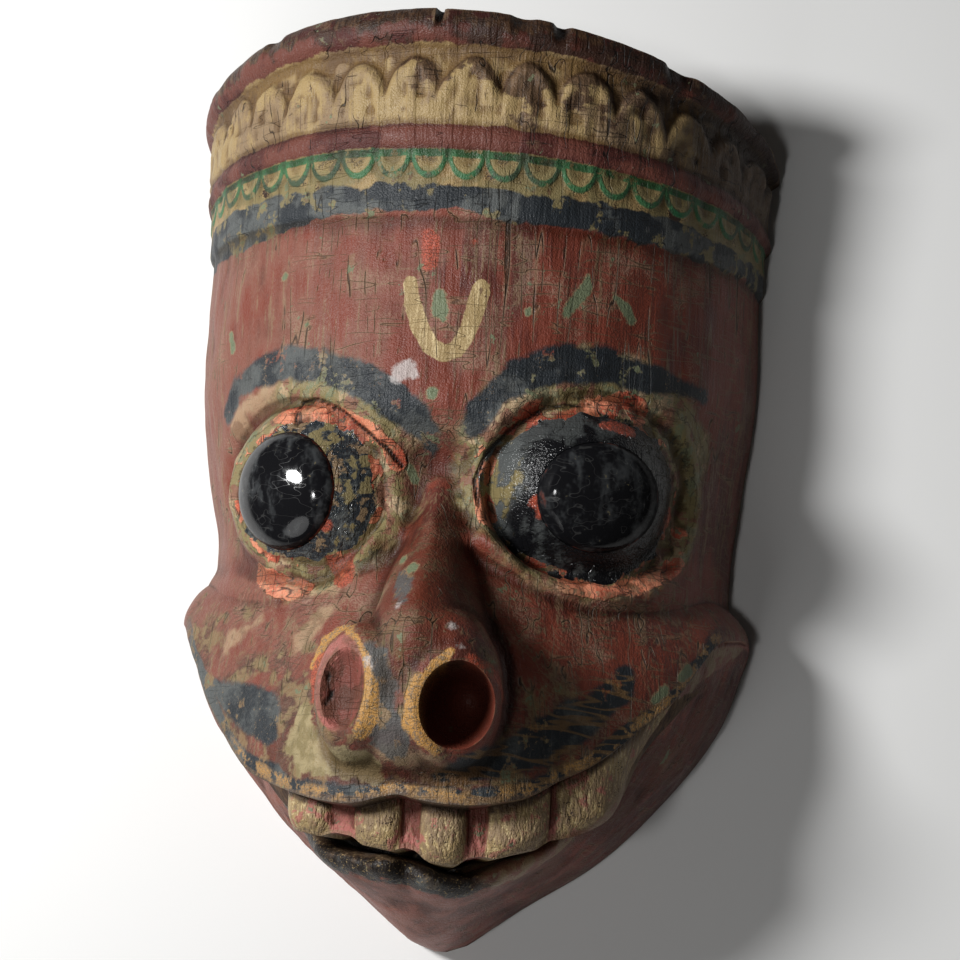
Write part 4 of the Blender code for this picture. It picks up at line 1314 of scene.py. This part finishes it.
def face_paint():
    """Red face with brows, crusted sockets, nostrils and moustache."""
    s = Surface("face_paint")
    g = s.graph
    color = s.red_ground()
    left = s.turn.under(0.0, 1.0)

    # folds of the cheeks: knife lines that run down and outwards, grime between them
    cheeks = s.tall.under(-54.0, 6.0) * (abs(s.turn) + s.rag).over(17.0, 4.0)
    fold = (g.field("folds") + s.fine * 0.12 + s.speck * 0.4).wave()
    knife = fold.over(0.36, 0.12) * cheeks * (s.patchy + s.fine * 0.3 + s.streak * 0.4).over(-0.3, 0.6)
    color = g.mix(knife * 0.42, color, s.mottled(0.2, 0.0, 0.4, WOOD_DARK, EARTH))
    grime = s.patchy * 0.7 + s.blots * 0.5 + s.fine * 0.2 + (s.tall + 112.0) * -0.022 - s.turn * 0.014
    grime = grime.over(0.30, 0.45)
    color = g.mix(grime * 0.6, color, s.mottled(0.4, 0.15, 0.4, WOOD_DARK, OLIVE))
    tan = g.field("tan") + s.rag + s.fine * 0.8
    color = g.mix(tan.over(0.8, 2.6) * 0.65, color, s.mottled(0.4, 0.2, 0.3, TAN, EARTH))
    olive = g.field("olive") + s.rag * 1.3 + s.fine
    color = g.mix(olive.over(0.0, 1.5) * 0.85, color, s.mottled(0.3, 0.1, 0.4, LICHEN, OLIVE))

    ridge = s.tall.under(-18.0, 10.0) * s.tall.over(-104.0, 8.0) * abs(s.turn + s.rag - 1.0).under(10.0, 4.0)
    color = g.tint(ridge * 0.8, color, RIDGE_SHADE)

    # crusts of old paint round the eyes, in worn layers
    eye = g.field("eye") + s.rag * 0.9 + s.fine * 0.5
    crust = g.mix((s.patchy + s.blots * 0.6 + s.fine * 0.25).over(0.25, 0.3), OLIVE, TAN)
    crust = g.mix((s.blots + s.fine * 0.5 + s.speck).over(0.50, 0.15) * 0.7, crust, GREY_GREEN)
    crust = g.mix((s.fine * 0.5 - s.blots + s.streak * 0.3).over(0.60, 0.2) * 0.8, crust, DUSTY_RED)
    layer = (g.field("bands") + s.fine * 0.12 + s.speck * 0.3).wave()
    seams = layer.over(0.44, 0.04).either(s.lines * 0.8)
    crust = g.mix(seams * 0.6, crust, SOOT)
    crust = g.mix(s.specks(2.0, 0.5, 0.70, 0.2) * 0.7, crust, DUST)
    color = g.mix((eye - s.tall.over(16.0, 12.0) * 9.0).under(11.0, 3.5), color, crust)
    salmon = (g.field("salmon") + 1.6 + s.rag * 0.45 + s.fine * 0.7).over(0.0, 0.5)
    salmon = salmon.either(eye.under(4.8, 0.8) * (s.blots + s.patchy * 0.5).over(0.22, 0.06))
    salmon_color = g.mix((s.fine * 0.5 + s.speck * 2.0 + s.patchy).over(0.20, 0.4), SALMON, ORANGE_RED)
    salmon_color = g.mix(s.specks(2.0, 0.4, 0.35, 0.25) * 0.9, salmon_color, TAN)
    lost = (s.fine * 0.4 - s.blots * 0.6 + s.streak * 0.3).over(0.45, 0.2)
    salmon_color = g.mix(lost * 0.6, salmon_color, EARTH)
    plates = s.across.under(0.010, 0.008).either(s.upright.under(0.009, 0.007))
    salmon_color = g.mix(plates * 0.8, salmon_color, SOOT)
    color = g.mix(salmon, color, salmon_color)

    # eyeballs, with dried crust on the nose side of the right one
    ball = eye.under(0.0, 0.4)
    left_ball = g.mix((s.fine * 0.6 + s.blots * 0.5).over(0.20, 0.4), BLUE_BLACK, SLATE)
    left_ball = g.mix((s.blots + s.fine * 0.3 + s.patchy * 0.5).over(0.62, 0.14) * 0.85, left_ball, OLIVE)
    bare_ball = (s.fine * 0.4 + s.patchy * 0.5 - s.blots * 0.9).over(0.62, 0.14)
    left_ball = g.mix(bare_ball * 0.8, left_ball, EARTH)
    right_ball = g.mix((s.patchy + s.streak * 0.3 + s.fine * 0.3).over(0.60, 0.4) * 0.6, BLACK, SLATE)
    inner = (s.turn + s.rag * 0.5 - s.tall * 0.04).under(17.5, 1.6)
    right_ball = g.mix(inner * 0.9, right_ball, s.mottled(0.4, 0.1, 0.3, SLATE, OLIVE))
    color = g.mix(ball, color, g.mix(left, right_ball, left_ball))

    # brows, moustache and the painted lip
    brow = s.tall.over(5.0, 3.0)
    dark = (g.field("dark") + 1.5 + brow * 1.5 + s.rag * 0.5 + s.fine * 0.7).over(0.2, 1.7)
    upper_lip = (s.lip + s.rag * 0.6 + s.fine * 0.4).under(8.5, 1.2) * abs(s.turn).under(66.0, 6.0)
    dark = dark.either(upper_lip)
    dark_color = g.mix((s.patchy * 0.8 + s.turn * -0.014 + s.fine * 0.3).over(0.45, 0.5), BLUE_BLACK, SLATE)
    chipped = (s.speck * 2.0 + s.fine * 0.5 + s.streak * 0.3).over(0.75, 0.25)
    dark_color = g.mix(chipped * 0.8, dark_color, EARTH)
    thin = (s.blots + s.fine * 0.6 + s.streak * 0.4).over(0.85, 0.2)
    color = g.mix(dark * (1.0 - thin * 0.8), color, dark_color)
    scratch = s.across.under(0.040, 0.025) * s.tall.under(-95.0, 5.0) * (1.0 - left)
    color = g.mix(dark * scratch * 0.30, color, OCHRE)
    dash = (s.lip + s.fine * 0.4).over(0.8, 0.8) * (s.lip + s.fine * 0.8).under(7.0, 1.5)
    dash = dash * (s.blots * 0.7 + s.fine * 0.7 + s.speck).over(0.0, 0.22) * s.turn.over(-40.0, 4.0)
    color = g.mix(upper_lip * dash * 0.8, color, g.mix(s.speck.over(0.0, 0.2), OCHRE, EARTH))

    slate = g.field("slate") + s.rag + s.fine * 0.6
    color = g.mix(slate.over(0.0, 1.2) * 0.85, color, s.mottled(0.4, 0.25, 0.3, SLATE, EARTH))
    ochre = (g.field("ochre") + s.rag * 0.45 + s.fine * 0.8).over(0.0, 0.6)
    ochre_color = g.mix((s.fine * 0.6 + s.speck * 2.0).over(0.15, 0.3), OCHRE, EARTH)
    color = g.mix(ochre * 0.9, color, ochre_color)
    bright = (g.field("bright") + s.rag * 0.5 + s.fine * 0.8).over(0.0, 0.9)
    color = g.mix(bright * 0.8, color, g.mix(s.specks(2.0, 0.3, 0.0, 0.4), ORANGE_RED, RED))
    pit = g.mix(left, RED, s.mottled(0.3, 0.1, 0.4, DUSTY_RED, GUM))
    color = g.mix(g.field("hole").under(-1.2, 0.8), color, pit)

    # tilak and lost patches
    tilak = (g.field("tilak") + s.rag * 0.14 + s.fine * 0.35).over(0.0, 0.4)
    tilak_color = g.mix((s.grain * 2.0 + s.speck * 1.5).over(0.25, 0.4), CREAM, PALE_CREAM)
    color = g.mix(tilak * (1.0 - s.lines * 0.9), color, tilak_color)
    flake = g.field("green") + s.fine * 0.8
    color = g.mix(flake.over(-0.7, 0.3), color, EARTH)
    color = g.mix(flake.over(0.0, 0.3), color, GREY_GREEN)
    color = g.mix((g.field("white") + s.fine + s.rag * 0.3).over(0.0, 1.2) * 0.7, color, CHALK)
    crack = (g.field("crack") + s.fine * 0.35 + s.speck * 0.5).over(-0.1, 0.8)
    color = g.mix(crack, color, SOOT)

    return s.aged(color, salmon * 0.5 - s.lines * 0.5 - crack * 0.8, ball)


# Bands of the crown: heights in mm against its top
SCALLOPS_FROM = -91.5
GREEN_LINE = -74.6
ROLL_FROM = -72.3
PETALS_FROM = -60.0
TOP_ROLL_FROM = -17.5
BARE_TOP_FROM = -7.5


def crown_paint():
    """Dark blue band, scallops outlined in green, red rolls and cream petals."""
    s = Surface("crown_paint")
    g = s.graph
    level = g.field("level")
    color = s.red_ground()
    blue_color = g.mix((s.patchy + s.streak * 0.4 + s.fine * 0.2).over(0.35, 0.4), BLUE_BLACK, SLATE)
    blue_color = g.mix((s.blots + s.fine * 0.4 + s.streak * 0.3).over(0.60, 0.2) * 0.8, blue_color, OLIVE)
    blue_color = g.mix(s.lines * 0.7, blue_color, SOOT)
    color = g.mix((g.field("blue") + s.rag * 0.6 + s.fine * 0.3).over(0.0, 0.6), color, blue_color)
    cream = g.mix((s.patchy * 0.7 + s.grain * 1.5 + s.fine * 0.2).over(0.05, 0.5), CREAM, EARTH)
    cream = g.mix((s.speck * 2.0 + s.fine * 0.4 + s.blots * 0.3).over(0.62, 0.25) * 0.8, cream, WOOD)
    # Cream of the scallop band dirtied to olive in patches, and more olive towards the right as painted shade
    dirty_cream_and_right_shade = g.mix((s.blots + s.patchy + s.fine * 0.3 + s.turn * 0.008).over(-0.15, 0.5), CREAM, OLIVE)
    dirty_cream_and_right_shade = g.mix((s.speck * 2.0 - s.blots + s.fine * 0.3).over(0.75, 0.25), dirty_cream_and_right_shade, WOOD_DARK)
    color = g.mix((level + s.rag * 0.6 + s.fine * 0.4).over(SCALLOPS_FROM, 0.8), color, dirty_cream_and_right_shade)
    hang = g.field("scallop") + s.fine * 0.25
    color = g.mix(hang.over(1.5, 0.8) * level.under(-72.0, 1.0) * 0.45, color, OLIVE)
    green = abs(hang - 0.4).under(1.3, 0.5) * level.over(-88.5, 0.5)
    green = green.either(abs(level + s.fine * 0.3 - GREEN_LINE).under(1.9, 0.5))
    green_worn = (s.blots + s.fine * 0.5 + s.speck).over(0.75, 0.3)
    green_color = g.mix((s.fine * 0.5 + s.patchy).over(0.2, 0.4), GREEN, WORN_GREEN)
    color = g.mix(green * (1.0 - green_worn * 0.8) * 0.9, color, green_color)
    red_roll = g.mix((s.patchy + s.fine * 0.25).over(0.10, 0.4), ROLL_RED, MAROON)
    # Bare dark wood on the red rolls in patches and towards the top, and more towards the right end as painted
    # shade
    bare_roll_and_right_shade = s.blots * 0.6 + s.broad * 0.6 + s.streak * 0.3 + s.fine * 0.2 + s.turn * 0.012
    bare_roll_and_right_shade = (bare_roll_and_right_shade + (level + 18.0) * 0.030).over(0.30, 0.30)
    red_roll = g.mix(bare_roll_and_right_shade * 0.85, red_roll, WOOD_DARK)
    red_roll = g.mix(s.specks(2.5, 0.5, 0.75, 0.25) * 0.35, red_roll, DUST)
    red_roll = g.mix(s.lines, red_roll, SOOT)
    color = g.mix((level + s.fine * 0.4 + s.rag * 0.15).over(ROLL_FROM, 0.4), color, red_roll)
    petal = g.field("petal") + s.fine * 0.2
    # Petal edges darkened all round: painted shade where the petals stand up from the band
    petals = g.mix(abs(petal).under(0.5, 0.7) * 0.4, cream, WOOD_DARK)
    worn_tops = 1.7 - abs(s.turn - 14.0) * 0.055
    bare = (level + 46.0) * 0.055 + s.patchy * 0.9 + s.blots * 0.5 + s.fine * 0.25 + worn_tops
    bare = bare.over(1.45, 0.20) * petal.over(-0.5, 0.8)
    petals = g.mix(bare * 0.9, petals, g.mix((s.grain * 2.5 + s.fine * 0.2).over(0.1, 0.5), WOOD_DARK, WOOD))
    # Petals darkened at the crown's right end: painted shade on the side away from the light
    far_right_shade = (s.turn + s.rag * 2.0 + s.patchy * 8.0).over(42.0, 9.0)
    petals = g.mix(far_right_shade * 0.8, petals, WOOD_DARK)
    petals = g.mix(s.lines * 0.9, petals, SOOT)
    color = g.mix((level + s.fine * 0.5 + s.rag * 0.25).over(PETALS_FROM, 0.5), color, petals)
    color = g.mix((level + s.fine * 0.5 + s.rag * 0.3).over(TOP_ROLL_FROM, 0.5), color, red_roll)
    bare_top = (level + s.rag * 1.1 + s.streak * 2.5).over(BARE_TOP_FROM, 1.2)
    top_wood = g.mix((s.grain * 2.0 + s.fine * 0.3).over(0.1, 0.5), WOOD_DARK, WOOD)
    color = g.mix(bare_top, color, g.mix((s.patchy + s.blots).over(0.5, 0.3), top_wood, MAROON))
    # Darker towards the crown's top edge, and further down its right end as painted shade
    dark_top_and_right_shade = (level + s.turn * 0.25 + s.rag * 1.2).over(-13.0, 9.0)
    color = g.tint(dark_top_and_right_shade * 0.85, color, TOP_RIGHT_SHADE)
    return s.aged(color, green * 0.25 - s.lines * 0.5, 0.0, CROWN_SHADE)


def mouth_paint():
    """Cream teeth, specked gums, dark lower lip and red jaw."""
    s = Surface("mouth_paint")
    g = s.graph
    brushed = g.noise(1.9, 2.0, 0.6, (1.0, 0.35, 1.0))
    tooth_color = g.mix((brushed * 3.0 + s.patchy * 0.5).over(0.0, 0.5), CREAM, EARTH)
    tooth_color = g.mix((brushed * -3.0 + s.speck * 2.0).over(0.45, 0.3) * 0.8, tooth_color, PALE_CREAM)
    # Teeth darker just under the lip's edge: painted shade under the overhanging lip
    tooth_color = g.mix((s.lip + s.fine).over(-3.5, 2.5) * 0.75, tooth_color, WOOD_DARK)
    tooth_color = g.mix((s.blots + s.fine * 0.5).over(0.65, 0.2) * 0.8, tooth_color, GUM)
    tooth_color = g.mix((s.speck * 2.5 - s.blots * 0.6).over(0.70, 0.2), tooth_color, WOOD_DARK)
    gum_color = g.mix(s.specks(2.0, 0.4, 0.3, 0.3) * 0.7, GUM, EARTH)
    tooth = (g.field("tooth") + s.fine * 0.5 + s.rag * 0.2).over(0.5, 0.8)
    teeth_color = g.mix(tooth, gum_color, tooth_color)
    # Jaw lighter on the viewer's left as painted light, and deeper red towards the right as painted shade
    jaw_color = g.mix((s.turn + s.rag).under(18.0, 14.0) * 0.75, s.red_ground(), BRICK)
    deep_and_right_shade = (s.patchy + s.streak * 0.6 + s.grain * 1.5 + s.turn * 0.01).over(0.35, 0.5)
    jaw_color = g.mix(deep_and_right_shade * 0.5, jaw_color, MAROON)
    lower = (g.field("lower_lip") + s.rag * 0.6 + s.fine * 0.5).over(0.0, 0.8)
    lower_color = g.mix((s.patchy + s.fine * 0.3).over(0.9, 0.4), SOOT, SLATE)
    lower_color = g.mix(s.specks(2.5, 0.5, 0.50, 0.15) * 0.8, lower_color, CREAM)
    right_lip = s.mottled(0.4, 0.2, 0.4, EARTH, DUSTY_RED)
    lower_color = g.mix((s.turn + s.rag).over(17.0, 4.0), lower_color, right_lip)
    teeth = g.field("teeth")
    color = g.mix(teeth, g.mix(lower, jaw_color, lower_color), teeth_color)
    height = teeth * brushed * 1.6 - (1.0 - teeth) * s.lines * 0.4
    return s.aged(color, height, lower * (1.0 - teeth) * 0.15)


def bare_wood():
    """Raw darkened wood of the hollow and the back rim, with tool marks."""
    g = Graph("bare_wood")
    grain = g.noise(2.0, 3.0, 0.6, (1.0, 0.07, 1.0))
    fine = g.noise(3.0, 3.0, 0.65) * 4.0
    streak = g.field("streak")
    broad = g.field("broad")
    color = g.mix((grain * 2.5 + streak * 0.5).over(0.0, 0.6), WOOD_DARK, WOOD)
    color = g.mix((broad + fine * 0.25 + grain).over(0.30, 0.5) * 0.5, color, EARTH)
    color = g.mix(abs(streak + fine * 0.04).under(0.020, 0.015), color, SOOT)
    color = g.tint(g.field("proud").under(-0.10, 0.25) * 0.7, color, WOOD_SHADE)
    return g.finish(color, 0.78 + grain * 0.2, grain * 0.7 + fine * 0.1, 1.0)


def eye_gloss(name, rim_cover):
    """Black glass-like paint with faint scratches, and grey smears that are partly painted reflection."""
    g = Graph(name)
    smears_and_reflection = g.noise(11.0, 3.0, 0.65, (1.0, 0.5, 1.0))
    fine = g.noise(2.4, 2.0, 0.6)
    scratch = abs(g.noise(6.0, 1.0, 0.5, (0.4, 1.0, 1.0))).under(0.006, 0.004)
    # Grey patches: smears on the glaze, and painted reflection of the room
    color = g.mix((smears_and_reflection + fine * 0.2).over(0.10, 0.12) * 0.8, BLACK, SMEAR_AND_REFLECTION_GREY)
    color = g.mix(scratch * 0.12, color, SCRATCH)
    color = g.mix((fine + smears_and_reflection * 0.3).over(0.24, 0.03) * 0.4, color, OLIVE)
    rim = g.field("rim") + fine * 3.0
    worn_rim = rim.under(0.8, 0.5) * smears_and_reflection.over(rim_cover, 0.08)
    color = g.mix(worn_rim, color, RED)
    roughness = 0.07 + (smears_and_reflection + fine * 0.2).over(0.08, 0.14) * 0.15 + scratch * 0.15
    roughness = roughness + rim.under(2.5, 1.5) * 0.4
    material = g.finish(color, roughness, smears_and_reflection * 0.12 + fine * 0.02, 0.5)
    g.plug(g.shader.inputs["Specular IOR Level"], rim.over(5.0, 4.0) * 0.48 + 0.02)
    return material


# Where the face's paint ends: mm above the blue band's edge, mm above the lip's edge, share inside
CROWN_FROM = -7.0
MOUTH_BELOW = -0.35
WOOD_OVER = 0.6

# Places of the shell's paints in its list of materials
ON_FACE, ON_CROWN, ON_MOUTH, ON_WOOD = range(4)


def dress_shell(mesh):
    """Give each face of the shell the paint of its region."""
    starts = read_values(mesh.polygons, "loop_start", 1, np.int32)
    loops = read_values(mesh.loops, "vertex_index", 1, np.int32)
    corners = np.diff(np.append(starts, len(loops)))
    mean = {}
    for name in ("inside", "lip", "blue"):
        values = read_values(mesh.attributes[name].data, "value", 1, np.float32)
        mean[name] = np.add.reduceat(values[loops], starts) / corners
    region = np.full(len(starts), ON_FACE, dtype=np.int32)
    region[mean["blue"] > CROWN_FROM] = ON_CROWN
    region[mean["lip"] < MOUTH_BELOW] = ON_MOUTH
    region[mean["inside"] > WOOD_OVER] = ON_WOOD
    mesh.materials.clear()
    for paint in (face_paint(), crown_paint(), mouth_paint(), bare_wood()):
        mesh.materials.append(paint)
    mesh.polygons.foreach_set("material_index", region)


# The pieces
shell = carve_shell()
left_eye = eye_dome("left_eye_dome", -1.0)
right_eye = eye_dome("right_eye_dome", 1.0)
measure_shell(shell.data)
measure_dome(left_eye.data, -1.0)
measure_dome(right_eye.data, 1.0)
dress_shell(shell.data)
for eye, rim_cover in ((left_eye, 0.0), (right_eye, 0.12)):
    eye.data.materials.clear()
    eye.data.materials.append(eye_gloss(eye.name + "_gloss", rim_cover))

for item, node in ((shell, "mask_shell"), (left_eye, "left_eye"), (right_eye, "right_eye")):
    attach(item, "root")
    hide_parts(node)

# Camera at the photo's angle. Its shift is measured in pixels of the picture.
PICTURE_PIXELS = 960
SHIFT_RIGHT_PIXELS = 23
SHIFT_UP_PIXELS = -1
SENSOR = 36.0
VIEW_TURN = math.radians(9.5)
VIEW_RISE = math.radians(10.5)
VIEW_ROLL = math.radians(3.3)
DISTANCE = 1.367
FOCAL_PIXELS = 2573.0
TARGET = Vector((0.0, 0.0092, 0.060))
back = Vector((
    math.sin(VIEW_TURN) * math.cos(VIEW_RISE),
    -math.sin(VIEW_RISE),
    math.cos(VIEW_TURN) * math.cos(VIEW_RISE),
))
level_right = Vector((math.cos(VIEW_TURN), 0.0, -math.sin(VIEW_TURN)))
level_up = back.cross(level_right)
right = level_right * math.cos(VIEW_ROLL) + level_up * math.sin(VIEW_ROLL)
up = level_up * math.cos(VIEW_ROLL) - level_right * math.sin(VIEW_ROLL)

camera_data = bpy.data.cameras.new("photo_camera")
camera_data.lens = SENSOR * FOCAL_PIXELS / PICTURE_PIXELS
camera_data.sensor_width = SENSOR
camera_data.shift_x = SHIFT_RIGHT_PIXELS / PICTURE_PIXELS
camera_data.shift_y = SHIFT_UP_PIXELS / PICTURE_PIXELS
camera_data.clip_end = 20.0
camera = bpy.data.objects.new("photo_camera", camera_data)
bpy.context.scene.collection.objects.link(camera)
turned = Matrix((right, up, back)).transposed().to_4x4()
camera.matrix_world = Matrix.Translation(TARGET + back * DISTANCE) @ turned
bpy.context.scene.camera = camera


def area_light(name, toward, distance, width, height, power):
    """Soft light placed by its direction from the mask: (right, up, towards the camera)."""
    way = (right * toward[0] + up * toward[1] + back * toward[2]).normalized()
    data = bpy.data.lights.new(name, "AREA")
    data.shape = "ELLIPSE"
    data.size = width
    data.size_y = height
    data.energy = power
    item = bpy.data.objects.new(name, data)
    item.location = TARGET + way * distance
    item.rotation_mode = "QUATERNION"
    item.rotation_quaternion = way.to_track_quat("Z", "Y")
    bpy.context.scene.collection.objects.link(item)


# Lights: direction, distance, width and height in metres, power in watts
area_light("key", (-0.715, 0.300, 0.632), 1.25, 0.22, 0.40, 19.5)
area_light("lamp", (-0.28, 0.02, 0.96), 1.9, 0.18, 0.18, 3.6)
area_light("fill", (-0.50, -0.62, 0.60), 2.1, 1.40, 1.40, 7.5)

WORLD_COLOR = (1.0, 0.96, 0.92, 1.0)
WORLD_STRENGTH = 0.020
world = bpy.data.worlds.new("studio")
world.use_nodes = True
background = world.node_tree.nodes["Background"]
background.inputs["Color"].default_value = WORLD_COLOR
background.inputs["Strength"].default_value = WORLD_STRENGTH
bpy.context.scene.world = world
bpy.context.scene.view_settings.view_transform = "Standard"

FLOOR_HALF = 3.0
FLOOR_HEIGHT = -0.0002
FLOOR_WHITE = (0.78, 0.78, 0.77, 1.0)
quarters = ((-1, -1), (1, -1), (1, 1), (-1, 1))
corners = [(x * FLOOR_HALF, y * FLOOR_HALF, FLOOR_HEIGHT) for x, y in quarters]
floor = new_object("studio_floor", (corners, [(0, 1, 2, 3)]))
floor_paint = bpy.data.materials.new("floor_white")
floor_paint.use_nodes = True
floor_shader = floor_paint.node_tree.nodes["Principled BSDF"]
floor_shader.inputs["Base Color"].default_value = FLOOR_WHITE
floor_shader.inputs["Roughness"].default_value = 0.9
floor.data.materials.append(floor_paint)
